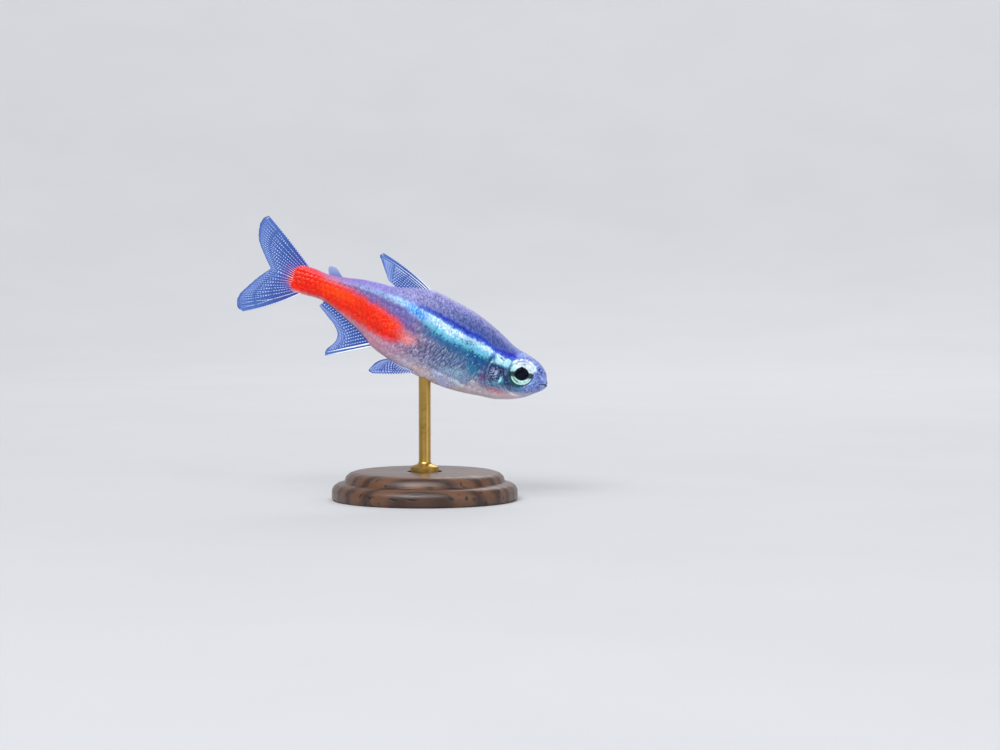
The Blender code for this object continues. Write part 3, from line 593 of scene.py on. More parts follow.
    paint("#a8b0d8", under(THROAT_TOP, 0.4), before(2.2, 0.6), strength=0.6)
    paint("#c4586a", spot(4.0, -2.3, 2.0, 0.42, 0.1), flecks(0.10, 0.8, 1.6, 75.0), strength=0.75)
    paint("#e8dce2", under(BELLY_EDGE, 0.2), *throat[1:], strength=0.6)
    # Painted shade in the gill slit along the cover's free edge, and a painted highlight along the cover's
    # raised rim just inside it.
    gill_edge = under(GILL_TOP, 0.8), over(THROAT_TOP, 0.9)
    paint("#24285c", ring(GILL_BACK, GILL_UP, GILL_RADIUS + 0.03, 0.10), *gill_edge, strength=0.4)
    paint("#9fb0e4", ring(GILL_BACK, GILL_UP, GILL_RADIUS - 0.12, 0.12), *gill_edge,
          flecks(0.06, 0.5), strength=0.35)
    # Painted shade in the nostril pits: a dark disc in each.
    for nostril_back, nostril_up, radius in NOSTRILS:
        paint("#101a48", ring(nostril_back, nostril_up, 0.0, 1.1 * radius), strength=0.85)
    # Painted shade in the groove between the lips: a dark line along the mouth.
    paint("#1c2758", over(MOUTH_LOW, 0.03), under(MOUTH_HIGH, 0.03), before(0.75, 0.15),
          strength=0.85)

    # Round the eye: a white patch behind it, a pale brow over it, and a dark green line under it.
    paint("#a8def0", spot(4.55, 0.5, 0.95, 0.52, 0.6), strength=0.95)
    paint("#a8def0", spot(4.95, 0.5, 0.36, 0.5, 0.5), strength=0.9)
    paint("#6cc0d8", spot(4.5, 0.15, 0.9, 0.25, 0.1), flecks(0.07, 0.55, 1.0, 60.0), strength=0.6)
    paint("#ecfcff", spot(4.8, 0.7, 0.6, 0.3, 0.4), flecks(0.10, 0.6), strength=0.9)
    paint("#34485c", spot(4.85, 0.72, 0.4, 0.14, 0.3), flecks(0.08, 0.42))
    paint("#1a4e7c", spot(3.76, 0.2, 0.2, 0.95, 0.3), strength=0.85)
    paint("#0f4648", spot(2.62, 0.02, 1.24, 1.3, 0.88), under(BROW_FOOT, 0.2), behind(1.7, 0.3),
          strength=0.85)
    paint("#4d94bc", spot(2.3, -1.3, 0.8, 0.25, 0.2), strength=0.75)
    brow = spot(2.5, 0.5, 1.32, 1.0, 0.86), over(BROW_FOOT, 0.12)
    paint("#b4dcf2", *brow, strength=0.95)
    paint("#b8b2ea", *brow, spot(2.7, 1.4, 0.8, 0.35, 0.3), strength=0.8)
    paint("#f0fdff", *brow, flecks(0.14, 0.45), strength=0.8)

    shine = add_node(
        tree, "Math", {0: over(PALE_FOOT, 0.3), 1: under(PALE_TOP, 0.3)}, operation="MULTIPLY")
    result = tree.nodes.new("NodeGroupOutput")
    tree.links.new(coats[-1], result.inputs["Colour"])
    tree.links.new(shine.outputs[0], result.inputs["Shine"])
    return tree


MARKS = make_marks()
WET_ROUGHNESS, SHINING_ROUGHNESS = 0.42, 0.24


def marked_finish(name, grain_size, grain_depth, **values):
    """A wet hide's finish: the marks, a finer gloss on the pale band, and a fine grain."""
    material, tree, shader = new_finish(name, **values)
    marks = add_node(tree, "Group", node_tree=MARKS)
    tree.links.new(marks.outputs["Colour"], shader.inputs["Base Color"])
    gloss = add_node(
        tree, "MapRange",
        {"Value": marks.outputs["Shine"], "To Min": WET_ROUGHNESS, "To Max": SHINING_ROUGHNESS})
    tree.links.new(gloss.outputs[0], shader.inputs["Roughness"])
    grain = fine_grain(tree, grain_size)
    bump = add_node(tree, "Bump", {"Height": grain, "Strength": 1.0, "Distance": grain_depth * MM})
    tree.links.new(bump.outputs[0], shader.inputs["Normal"])
    return material, tree, shader, marks


# The skin's finish is a soft wet gloss over the marks, keener on the pale band, with a fine grain
# that breaks it up.
skin_finish = marked_finish(
    "wet_silvery_skin", 0.09, 0.02, IOR=1.38, Specular_IOR_Level=0.25, Coat_Weight=0.15,
    Coat_Roughness=0.1)[0]


def set_in_scene(name, data):
    """An object in the scene, at the origin."""
    thing = bpy.data.objects.new(name, data)
    bpy.context.scene.collection.objects.link(thing)
    return thing


def add_piece(name, mesh, finish, slot, *nodes):
    """A finished piece: its finish, the body it rides on, and the CAD nodes that it stands for."""
    mesh.materials.append(finish)
    piece = set_in_scene(name, mesh)
    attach(piece, "root")
    if nodes:
        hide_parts(*nodes)


add_piece("skin", make_skin_mesh(), skin_finish, "silver_skin", "head", "torso", "tail_stalk")

# The scales: thin, clear, round-edged plates of bone in the skin, each tucked under the one in
# front, in rows that run along the flank from the gill covers to the tail.

# The pitches in millimetres, and the side line's share of the girth, by distance behind the snout.
ROW_PITCH = ((4, 0.60), (7, 0.70), (12, 0.72), (18, 0.56), (22, 0.44), (25.4, 0.42))
SCALE_PITCH = ((4, 0.52), (8, 0.60), (16, 0.58), (21, 0.50), (25.4, 0.44))
SCALE_LENGTH_SHARE = 1.65
SCALE_WIDTH_SHARE = 1.3
SCALE_THICKNESS = 0.022
SCALE_CROWN = 0.016
SCALE_TUCK, SCALE_RISE = 0.034, 0.042
ROWS_FROM_SIDE_LINE = 8
EDGE_CLEARANCE = 0.55
SIDE_LINE = ((3.5, 0.62), (6, 0.55), (12, 0.50), (18, 0.47), (25.4, 0.5))
# On the bake map each scale has a small patch where it sits on the flank: across by its distance
# behind the snout, up by its way round the girth.
BAKE_PATCH, BAKE_LENGTH, BAKE_ROUND = 0.003, 30.0, 2.1
# A globe with its upper and lower rings swelled by this much is a flat plate with a blunt rim.
PLATE_SWELL = Vector((1.31, 1.31, 1.1))


def unroll_flank():
    """The left flank as a table: at equal steps along the body and equal shares of the way from
    the back's ridge down to the belly's, the point, the outward direction, and half the girth."""
    backs = np.linspace(3.4, TAIL_END - 0.02, 222)
    shares = np.linspace(0.0, 1.0, 97)
    turns = np.linspace(math.pi / 2, -math.pi / 2, 721)
    points = np.empty((len(backs), len(shares), 3))
    girths = np.empty(len(backs))
    for index, back in enumerate(backs):
        loop = body_point(np.full(len(turns), back), turns)
        run = np.concatenate(((0.0,), np.cumsum(np.linalg.norm(np.diff(loop, axis=0), axis=1))))
        girths[index] = run[-1]
        for axis in range(3):
            points[index, :, axis] = np.interp(shares * run[-1], run, loop[:, axis])
    down = np.gradient(points, axis=1)
    rearward = np.gradient(points, axis=0)
    outward = np.cross(rearward, down)
    outward[:, 0] = outward[:, 0] * (1, 0, 1)
    outward[:, -1] = outward[:, -1] * (1, 0, 1)
    outward /= np.linalg.norm(outward, axis=2, keepdims=True)
    middle = len(shares) // 2
    outward *= np.sign(outward[:, middle : middle + 1, 1:2])
    return backs, points, outward, girths


FLANK_BACKS, FLANK_POINTS, FLANK_OUTWARD, FLANK_GIRTHS = unroll_flank()


def on_flank(back, arc, lift):
    """Back, left and up of a place on the skin, from its distance behind the snout, its distance
    round from the back's ridge, to the left or right, and its height over the skin."""
    girth = np.interp(back, FLANK_BACKS, FLANK_GIRTHS)
    side = np.sign(arc) + (arc == 0)
    away = np.abs(arc)
    side = np.where(away > girth, -side, side)
    away = np.where(away > girth, 2 * girth - away, away)
    row = np.interp(back, FLANK_BACKS, np.arange(len(FLANK_BACKS)))
    column = np.clip(away / girth, 0, 1) * (FLANK_POINTS.shape[1] - 1)
    row_low = np.clip(row.astype(int), 0, len(FLANK_BACKS) - 2)
    column_low = np.clip(column.astype(int), 0, FLANK_POINTS.shape[1] - 2)
    row_share, column_share = (row - row_low)[:, None], (column - column_low)[:, None]

    def between(table):
        near = (table[row_low, column_low] * (1 - column_share)
                + table[row_low, column_low + 1] * column_share)
        far = (table[row_low + 1, column_low] * (1 - column_share)
               + table[row_low + 1, column_low + 1] * column_share)
        return near * (1 - row_share) + far * row_share

    point = between(FLANK_POINTS) + between(FLANK_OUTWARD) * lift[:, None]
    point[:, 1] *= side
    return point


def scale_places():
    """Row and place along it of every scale: distance behind the snout, row number and side."""
    row_pitch = smooth_line(*zip(*ROW_PITCH))
    scale_pitch = smooth_line(*zip(*SCALE_PITCH))
    side_line = smooth_line(*zip(*SIDE_LINE))
    backs = np.linspace(3.6, 25.0, 900)
    counts = np.concatenate(((0.0,), np.cumsum(np.diff(backs) / scale_pitch(backs)[:-1])))
    places = []
    for row in range(-ROWS_FROM_SIDE_LINE, ROWS_FROM_SIDE_LINE + 1):
        for step in range(int(counts[-1]) + 1):
            back = float(np.interp(step + 0.5 * (row % 2), counts, backs))
            girth = float(np.interp(back, FLANK_BACKS, FLANK_GIRTHS))
            pitch = float(row_pitch(back))
            arc = girth * float(side_line(back)) + row * pitch
            if EDGE_CLEARANCE * pitch < arc < girth - EDGE_CLEARANCE * pitch:
                places += [(back, row, side) for side in (1, -1)]
    return places, row_pitch, scale_pitch, side_line


def behind_gill(back, point):
    """True where a scale stands clear of the gill cover, or of the nape above it."""
    from_gill = math.hypot(back - GILL_BACK, point[2] - GILL_UP)
    return from_gill > GILL_RADIUS + 0.12 if point[2] < 1.6 else back > 4.6


def make_scales_mesh():
    """Every scale from one flat round plate, bent to the flank where it lies."""
    draw = random.Random(11)
    template = bmesh.new()
    bmesh.ops.create_uvsphere(template, u_segments=12, v_segments=4, radius=1.0)
    for vert in template.verts:
        if 0.1 < abs(vert.co.z) < 0.9:
            vert.co = vert.co * PLATE_SWELL
    plate_map = template.loops.layers.uv.new("Plate")
    template.loops.layers.uv.new("OFBake")
    for face in template.faces:
        for loop in face.loops:
            loop[plate_map].uv = (0.5 + 0.5 * loop.vert.co.x, 0.5 + 0.5 * loop.vert.co.y)
    plate = bpy.data.meshes.new("scale_plate")
    template.to_mesh(plate)
    shape = np.array([vert.co for vert in template.verts])
    template.free()

    places, row_pitch, scale_pitch, side_line = scale_places()
    bm = bmesh.new()
    points, tones, roots = [], [], []
    for back, row, side in places:
        length = float(scale_pitch(back)) * SCALE_LENGTH_SHARE * draw.uniform(0.97, 1.05)
        backs = back + shape[:, 0] * length / 2
        girths = np.interp(backs, FLANK_BACKS, FLANK_GIRTHS)
        pitches = row_pitch(backs)
        arcs = girths * side_line(backs) + (row + shape[:, 1] * SCALE_WIDTH_SHARE / 2) * pitches
        crown = SCALE_CROWN * (1 - shape[:, 1] ** 2)
        slope = -SCALE_TUCK + SCALE_RISE * (shape[:, 0] + 1) / 2 + draw.uniform(-0.004, 0.004)
        lift = slope + crown + shape[:, 2] * SCALE_THICKNESS / 2
        plate_points = on_flank(backs, arcs * side, lift)
        if not behind_gill(back, plate_points[0]):
            continue
        bm.from_mesh(plate)
        points.append(plate_points)
        tones += [draw.random()] * len(shape)
        girth = float(np.interp(back, FLANK_BACKS, FLANK_GIRTHS))
        arc = girth * float(side_line(back)) + row * float(row_pitch(back))
        roots.append((back / BAKE_LENGTH, 0.5 + side * arc / girth / BAKE_ROUND))
    mesh = bpy.data.meshes.new("scales")
    bm.to_mesh(mesh)
    bm.free()
    bpy.data.meshes.remove(plate)
    mesh.vertices.foreach_set("co", in_world(np.concatenate(points)).ravel())
    tone = mesh.attributes.new("tone", "FLOAT", "POINT")
    tone.data.foreach_set("value", tones)
    local = np.empty(len(mesh.loops) * 2)
    mesh.uv_layers["Plate"].data.foreach_get("uv", local)
    local = local.reshape(len(roots), -1, 2)
    patches = np.array(roots)[:, None, :] + (local - 0.5) * BAKE_PATCH
    mesh.uv_layers["OFBake"].data.foreach_set("uv", patches.ravel())
    mesh.update()
    bm = bmesh.new()
    bm.from_mesh(mesh)
    bmesh.ops.recalc_face_normals(bm, faces=bm.faces)
    bm.to_mesh(mesh)
    bm.free()
    mesh.shade_smooth()
    return mesh


# The scales' finish shows the hide's colours through clear bone, under a thin wet gloss.
scale_finish, scale_tree, scale_shader, scale_marks = marked_finish(
    "wet_silvery_scale", 0.07, 0.008, IOR=1.38, Specular_IOR_Level=0.25, Coat_Weight=0.18,
    Coat_Roughness=0.08)


def rim_scales(tree, shader, marks):
    """A little pigment along each scale's free edge, and a tone of its own for each scale."""
    plate = add_node(tree, "UVMap", uv_map="Plate")
    off = add_node(
        tree, "VectorMath", {0: plate.outputs[0], 1: (0.42, 0.5, 0.0)}, operation="SUBTRACT")
    far = add_node(tree, "VectorMath", {0: off.outputs[0]}, operation="LENGTH")
    rim = add_node(
        tree, "MapRange",
        {"Value": far.outputs["Value"], "From Min": 0.40, "From Max": 0.56, "To Min": 1.0, "To Max": 0.95},
        interpolation_type="SMOOTHSTEP")
    tone = add_node(tree, "Attribute", attribute_name="tone")
    level = add_node(
        tree, "MapRange", {"Value": tone.outputs["Fac"], "To Min": 0.92, "To Max": 1.06})
    value = add_node(tree, "Math", {0: rim.outputs[0], 1: level.outputs[0]}, operation="MULTIPLY")
    shaded = add_node(
        tree, "HueSaturation", {"Color": marks.outputs["Colour"], "Value": value.outputs[0]})
    tree.links.new(shaded.outputs[0], shader.inputs["Base Color"])


rim_scales(scale_tree, scale_shader, scale_marks)
add_piece("scales", make_scales_mesh(), scale_finish, "silver_skin")

# The eyes: a silver and green iris, a black lens that stands out through a pupil a little wider
# than high, and a clear cornea over them that makes the whole eye one wet dome.
PUPIL_RADIUS = 0.63
PUPIL_FLATNESS, PUPIL_DROP = 0.87, 0.03
EYE_LEVEL = math.radians(8)
EYE_DOME = 0.36
EYE_DEPTH = 0.45


def turned(profile, steps=96):
    """A turned shape, in millimetres round Z, from (radius, height) pairs down its outer side."""
    bm = bmesh.new()
    verts = [bm.verts.new((radius, 0.0, height)) for radius, height in profile]
    edges = [bm.edges.new(pair) for pair in zip(verts, verts[1:])]
    bmesh.ops.spin(
        bm, geom=verts + edges, cent=(0, 0, 0), axis=(0, 0, 1), dvec=(0, 0, 0), angle=math.tau,
        steps=steps, use_merge=True)
    bmesh.ops.remove_doubles(bm, verts=bm.verts, dist=1e-5)
    bmesh.ops.recalc_face_normals(bm, faces=bm.faces)
    return bm


def placed_mesh(name, bm, place=Matrix.Identity(4), sharp=40):
    """The mesh of a shape modelled in millimetres, set in its place in metres, with the edges
    sharp that turn by more than this many degrees."""
    bmesh.ops.transform(bm, matrix=place @ Matrix.Scale(MM, 4), verts=bm.verts)
    mesh = smooth_mesh(name, bm)
    mesh.set_sharp_from_angle(angle=math.radians(sharp))
    return mesh


def quarter(radius, height, base=0.0, steps=10):
    """A quarter of an oval, from its top over the axis down to its rim."""
    turns = [math.pi / 2 * step / steps for step in range(steps + 1)]
    return [(radius * math.sin(turn), base + height * math.cos(turn)) for turn in turns]


def in_eye(side):
    """The place of an eye: its middle on the head, its Z axis looking out and a little forward."""
    outwards = Vector((math.sin(EYE_FORWARD), side * math.cos(EYE_FORWARD), 0.0))
    centre = Matrix.Translation(Vector((-EYE_BACK, side * EYE_LEFT, EYE_UP)) * MM)
    return FISH @ centre @ outwards.to_track_quat("Z", "Y").to_matrix().to_4x4()


def paint_iris(tree, shader):
    """A pearly brow over the pupil, a green white crescent under it, and dark bars at its ends."""
    at = add_node(tree, "TexCoord").outputs["Object"]
    middle = Vector((-EYE_BACK, 0.0, EYE_UP)) * MM
    place = add_node(
        tree, "Mapping",
        {"Vector": at, "Location": FISH @ middle, "Rotation": (0.0, EYE_LEVEL, 0.0),
         "Scale": (-MM, MM, MM)},
        vector_type="TEXTURE").outputs[0]
    axes = add_node(tree, "SeparateXYZ", {"Vector": place})
    flat = add_node(tree, "CombineXYZ", {"X": axes.outputs["X"], "Y": axes.outputs["Z"]}).outputs[0]
    radius = add_node(tree, "VectorMath", {0: flat}, operation="LENGTH").outputs["Value"]
    turn = add_node(
        tree, "Math", {0: axes.outputs["Z"], 1: axes.outputs["X"]}, operation="ARCTAN2").outputs[0]
    fibre_place = add_node(tree, "CombineXYZ", {"X": turn, "Y": radius})
    fibres = add_node(
        tree, "Mapping", {"Vector": fibre_place.outputs[0], "Scale": (5.0, 1.6, 1.0)})
    grain = add_node(tree, "TexNoise", {"Vector": fibres.outputs[0], "Scale": 2.0, "Detail": 3.0})
    blot = add_node(tree, "TexNoise", {"Vector": place, "Scale": 3.2, "Detail": 2.0})
    wavy = add_node(
        tree, "Math", {0: grain.outputs[0], 1: 0.28, 2: axes.outputs["Z"]},
        operation="MULTIPLY_ADD").outputs[0]

    paint, coats = brush(tree, "#0c3a48")
    paint("#0a1c26", soft_edge(tree, grain.outputs[0], 0.4, 0.6))
    brow = soft_edge(tree, wavy, 0.2, 0.42)
    paint("#d4f2f8", brow)
    paint("#ffffff", brow, soft_edge(tree, blot.outputs[0], 0.48, 0.6))
    paint("#cfc8f4", brow, soft_edge(tree, wavy, 0.9, 1.15), strength=0.8)
    paint("#7ee4e4", brow, soft_edge(tree, axes.outputs["X"], 0.55, 1.0), strength=0.8)
    paint("#6f8894", brow, soft_edge(tree, blot.outputs[0], 0.37, 0.33))
    crescent = soft_edge(tree, wavy, -0.12, -0.4), soft_edge(tree, radius, 1.06, 0.98)
    paint("#7ce0d4", *crescent)
    paint("#dcfffa", *crescent, soft_edge(tree, grain.outputs[0], 0.36, 0.5))
    arc = (
        soft_edge(tree, axes.outputs["X"], 0.0, 0.3), soft_edge(tree, radius, 0.94, 0.86),
        soft_edge(tree, radius, 0.7, 0.78))
    paint("#2f8a6c", *crescent, *arc, strength=0.85)
    paint("#0c2c3c", soft_edge(tree, radius, 1.02, 1.1), soft_edge(tree, wavy, 0.2, -0.1))
    peak = add_node(
        tree, "VectorMath", {0: flat, 1: (0.05, 0.5, 0.0)}, operation="DISTANCE").outputs["Value"]
    paint("#03070c", soft_edge(tree, peak, 0.2, 0.12))
    dropped = add_node(tree, "VectorMath", {0: flat, 1: (0.0, PUPIL_DROP, 0.0)}, operation="ADD")
    flatter = add_node(
        tree, "VectorMath", {0: dropped.outputs[0], 1: (1.0, PUPIL_FLATNESS, 1.0)}, operation="DIVIDE")
    pupil = add_node(tree, "VectorMath", {0: flatter.outputs[0]}, operation="LENGTH").outputs["Value"]
    paint("#03070c", soft_edge(tree, pupil, PUPIL_RADIUS + 0.06, PUPIL_RADIUS + 0.02))
    tree.links.new(coats[-1], shader.inputs["Base Color"])
    bump = add_node(
        tree, "Bump", {"Height": grain.outputs[0], "Strength": 0.6, "Distance": 0.03 * MM})
    tree.links.new(bump.outputs[0], shader.inputs["Normal"])


# The iris is pearly, with fine fibres under a wet coat, the lens a smooth black gloss, and the
# cornea so clear that it shows only by its sharp highlight.
iris_finish, iris_tree, iris_shader = new_finish(
    "pearly_iris", Roughness=0.3, IOR=1.38, Coat_Weight=0.6, Coat_Roughness=0.04)
paint_iris(iris_tree, iris_shader)
lens_finish, _, lens_shader = new_finish(
    "pupil_black", Roughness=0.08, IOR=1.42, Specular_IOR_Level=0.12)
lens_shader.inputs["Base Color"].default_value = linear_colour("#040a1c")
cornea_finish, _, cornea_shader = new_finish(
    "clear_cornea", Roughness=0.02, IOR=1.376, Alpha=0.04, Coat_Weight=0.6, Coat_Roughness=0.01)
cornea_shader.inputs["Base Color"].default_value = linear_colour("#0c1a26")

for side, word in ((1, "left"), (-1, "right")):
    iris = turned([
        (PUPIL_RADIUS - 0.04, 0.06), (PUPIL_RADIUS, 0.10), (PUPIL_RADIUS + 0.06, 0.105), (0.85, 0.07),
        (EYE_RADIUS - 0.03, 0.02), (EYE_RADIUS + 0.02, -0.04), (EYE_RADIUS - 0.15, -0.25),
        (0.6, -EYE_DEPTH), (0.0, -EYE_DEPTH), (0.0, 0.0)])
    add_piece(f"iris_{word}", placed_mesh(f"iris_{word}", iris, in_eye(side)), iris_finish, "silver_eye",
              f"eye_{word}")
    lens = turned(quarter(PUPIL_RADIUS + 0.01, 0.20, 0.03) + [(0.4, -0.1), (0.0, -0.1)])
    lens_place = in_eye(side) @ Matrix.Translation((0.0, -PUPIL_DROP * MM, 0.0))
    lens_place = lens_place @ Matrix.Scale(PUPIL_FLATNESS, 4, (0.0, 1.0, 0.0))
    add_piece(f"pupil_{word}", placed_mesh(f"pupil_{word}", lens, lens_place), lens_finish, "silver_eye")
    cornea = turned(
        quarter(EYE_RADIUS, EYE_DOME, 0.0) + quarter(EYE_RADIUS - 0.03, EYE_DOME - 0.03, 0.0)[::-1])
    add_piece(f"cornea_{word}", placed_mesh(f"cornea_{word}", cornea, in_eye(side)), cornea_finish,
              "silver_eye")

# The fins: clear skin, a little blue, stretched over soft jointed rays that fork twice towards
# the edge. The leading ray of each fin is stiffer and plain. In the tail each ray is a pair of
# halves that clasp the end of the stalk.

# The rows of a root and of the tips go from the leading ray, 0, to the last, 1, each with its
# place as back, up and left.
DORSAL_ROOT = (12.9, 15.8)
DORSAL_TIPS = (
    (0.0, 18.40, 5.35, 0.0), (0.12, 18.62, 5.05, 0.0), (0.3, 18.30, 4.66, 0.0),
    (0.55, 17.85, 4.15, 0.0), (0.8, 17.35, 3.60, 0.0), (1.0, 17.00, 3.22, 0.0))
ANAL_ROOT = (15.95, 21.6)
ANAL_TIPS = (
    (0.0, 19.75, -5.35, 0.0), (0.1, 19.85, -4.80, 0.0), (0.2, 19.42, -3.95, 0.0),
    (0.35, 19.42, -3.12, 0.0), (0.5, 19.95, -2.50, 0.0), (0.7, 20.85, -1.98, 0.0),
    (0.85, 21.40, -1.66, 0.0), (1.0, 21.95, -1.34, 0.0))
UPPER_ROOT = ((0.0, 24.0, 1.45, 0.0), (0.3, 24.85, 1.15, 0.0), (1.0, 25.05, 0.08, 0.0))
UPPER_TIPS = (
    (0.0, 29.32, 4.46, 0.0), (0.07, 29.62, 4.22, 0.0), (0.15, 29.78, 3.75, 0.0),
    (0.3, 29.68, 2.95, 0.0), (0.5, 29.30, 2.05, 0.0), (0.75, 28.35, 1.02, 0.0), (1.0, 27.35, 0.10, 0.0))
LOWER_ROOT = ((0.0, 23.9, -0.86, 0.0), (0.3, 24.7, -0.78, 0.0), (1.0, 25.05, 0.04, 0.0))
LOWER_TIPS = (
    (0.0, 28.20, -4.50, 0.0), (0.08, 28.72, -4.40, 0.0), (0.15, 29.00, -3.98, 0.0),
    (0.3, 29.08, -3.25, 0.0), (0.5, 28.70, -2.30, 0.0), (0.75, 28.10, -1.10, 0.0), (1.0, 27.35, 0.08, 0.0))
PELVIC_ROOT = ((0.0, 12.0, -3.66, 0.95), (1.0, 13.2, -3.56, 0.50))
PELVIC_TIPS = (
    (0.0, 15.05, -5.04, 1.55), (0.1, 15.45, -5.02, 1.52), (0.3, 15.42, -4.58, 1.4),
    (0.55, 15.18, -4.12, 1.15), (0.8, 14.82, -3.74, 0.9), (1.0, 14.38, -3.42, 0.7))
PECTORAL_ROOT = ((0.0, 6.60, -1.95, 1.54), (1.0, 6.90, -2.65, 1.28))
PECTORAL_TIPS = (
    (0.0, 10.25, -2.35, 3.55), (0.15, 10.35, -2.70, 3.50),
    (0.5, 9.80, -3.35, 3.05), (1.0, 8.70, -3.75, 2.35))
MEMBRANE_THICKNESS, MEMBRANE_SCALLOP = 0.03, 0.006
RAY_RADIUS, RAY_HALF_GAP = 0.045, 0.025
PLAIN_RAY, STEM, BRANCH, TWIG = (0.0, 0.985), (0.0, 0.42), (0.40, 0.72), (0.70, 0.98)
BRANCH_SPREAD, TWIG_SPREAD = 0.25, 0.12


def through(keys):
    """A function of 0 to 1 that gives a smooth point through rows of (share, back, up, left)."""
    shares, *axes = zip(*keys)
    curves = [smooth_line(shares, axis) for axis in axes]
    return lambda share: np.array([float(curve(share)) for curve in curves])


def along_outline(height, stretch, sunk):
    """A root along a stretch of the back or belly, sunk a little in the skin."""
    front, rear = stretch

    def root(share):
        back = front + (rear - front) * share
        return np.array((back, float(height(back)) + sunk, 0.0))

    return root


def on_side(keys, side):
    """The smooth line through the rows on the left side, or on the right as its mirror image."""
    return through([(share, back, up, side * left) for share, back, up, left in keys])


def flank_left(back, up):
    """Half the body's width at a height over its axis, and nothing outside the body."""
    if back > TAIL_END - 0.02:
        return 0.0
    loop = body_point(np.full(40, back), np.linspace(-math.pi / 2, math.pi / 2, 40))
    if not loop[0, 2] < up < loop[-1, 2]:
        return 0.0
    return float(np.interp(up, loop[:, 2], loop[:, 1]))


def fin_sheet(root, tips, bow, sunk):
    """The fin's surface: a point for a share from the leading ray to the last, and along a ray.
    The leading rays bow forwards, square to their own length."""

    def point(share, along):
        start, end = root(share), tips(share)
        ray = end - start
        unit = ray / np.linalg.norm(ray)
        ahead = tips(0.0) - tips(0.3)
        ahead = ahead - unit * ahead.dot(unit)
        ahead /= np.linalg.norm(ahead)
        start = start - unit * sunk
        lift = 4 * along * (1 - along) * bow * (1 - share) ** 2
        back, up, left = start + (end - start) * along + ahead * lift
        return np.array((back, left, up))

    return point


def rosy_base(back, up):
    """How rosy the tail fin still is at a place behind the red of the stalk."""
    return float((1.0 - ease(back, 25.0, 26.7)) * (1.0 - 0.8 * ease(abs(up - 0.2), 0.5, 1.3)))


def make_membrane(name, point, rays, rosy, paler):
    """A fin's film, drawn in a little between its rays, and given its real thickness."""
    columns, rows = 6 * (rays - 1), 20
    bm = bmesh.new()
    bmesh.ops.create_grid(bm, x_segments=columns, y_segments=rows, size=1.0)
    along_layer = bm.verts.layers.float.new("along")
    blush_layer = bm.verts.layers.float.new("blush")
    for vert in bm.verts:
        share, along = (vert.co.x + 1) / 2, (vert.co.y + 1) / 2
        between = abs(math.sin(share * (rays - 1) * math.pi))
        place = point(share, along * (1 - MEMBRANE_SCALLOP * between * along))
        vert[along_layer] = along + paler
        vert[blush_layer] = rosy_base(place[0], place[2]) if rosy else 0.0
        vert.co = in_world(place)
    bmesh.ops.recalc_face_normals(bm, faces=bm.faces)
    middle = sum((vert.co for vert in bm.verts), Vector()) / len(bm.verts)
    bmesh.ops.solidify(bm, geom=bm.faces[:], thickness=MEMBRANE_THICKNESS * MM)
    off = sum((vert.co for vert in bm.verts), Vector()) / len(bm.verts) - middle
    bmesh.ops.translate(bm, vec=-off, verts=bm.verts)
    bmesh.ops.recalc_face_normals(bm, faces=bm.faces)
    return smooth_mesh(name, bm)


def add_rod(bm, path, radii, alongs, painted_highlight, rosy):
    """A thin tapering rod along a path: a globe of six sides drawn out along it."""
    steps = len(path) - 1
    made = bmesh.ops.create_uvsphere(bm, u_segments=6, v_segments=steps, radius=1.0)["verts"]
    world = [Vector(in_world(point)) for point in path]
    layers = [bm.verts.layers.float[key] for key in ("reach", "along", "painted_highlight", "blush")]
    runs = [0.0]
    for start, end in zip(world, world[1:]):
        runs.append(runs[-1] + (end - start).length / MM)
    for vert in made:
        step = round(math.acos(max(-1.0, min(1.0, vert.co.z))) / math.pi * steps)
        ahead = (world[min(step + 1, steps)] - world[max(step - 1, 0)]).normalized()
        across = Vector((0.0, 1.0, 0.0)).cross(ahead).normalized()
        off = Vector((vert.co.x, vert.co.y))
        if off.length > 1e-4:
            off.normalize()
        vert.co = world[step] + (across * off.x + ahead.cross(across) * off.y) * radii[step] * MM
        blush = rosy_base(path[step][0], path[step][2]) if rosy else 0.0
        for layer, value in zip(layers, (runs[step], alongs[step], painted_highlight * (1 - alongs[step]), blush)):
            vert[layer] = value


def make_rays(name, point, rays, size, plain, painted_highlight, rosy, lead):
    """All of a fin's rays: the first ones plain, the others a stem that forks into two branches
    and each branch into two twigs."""
    bm = bmesh.new()
    for key in ("reach", "along", "painted_highlight", "blush"):
        bm.verts.layers.float.new(key)
    spacing = 1.0 / (rays - 1)

    def add_stretch(shares, alongs, radii, steps, light, sides=(0,)):
        turns = [step / steps for step in range(steps + 1)]
        places = [alongs[0] + (alongs[1] - alongs[0]) * turn for turn in turns]
        path = []
        for turn, along in zip(turns, places):
            share = shares[0] + (shares[1] - shares[0]) * float(ease(turn, 0.0, 1.0))
            path.append(point(min(max(share, 0.0), 1.0), along))
        widths = [RAY_RADIUS * size * (radii[0] + (radii[1] - radii[0]) * turn) for turn in turns]
        for side in sides:
            shifted = path
            if side:
                shifted = [
                    place + (0.0, side * (RAY_HALF_GAP + flank_left(place[0], place[2])), 0.0)
                    for place in path]
            add_rod(bm, shifted, widths, places, light, rosy)

    for ray in range(rays):
        share = ray * spacing
        light = painted_highlight[ray] if ray < len(painted_highlight) else 0.0
        halves = (-1, 1) if rosy else (0,)
        if ray < plain:
            add_stretch((share, share), PLAIN_RAY, (1.4 * lead, 0.5 * lead), 28, light, halves)
            continue
        add_stretch((share, share), STEM, (0.6 if rosy else 1.0, 0.8), 14, light, halves)
        for fork in (-BRANCH_SPREAD, BRANCH_SPREAD):
            middle = share + fork * spacing
            add_stretch((share, middle), BRANCH, (0.75, 0.65), 10, light)
            for end in (middle - TWIG_SPREAD * spacing, middle + TWIG_SPREAD * spacing):
                add_stretch((middle, end), TWIG, (0.6, 0.48), 8, light)
    bmesh.ops.recalc_face_normals(bm, faces=bm.faces)
    return smooth_mesh(name, bm)


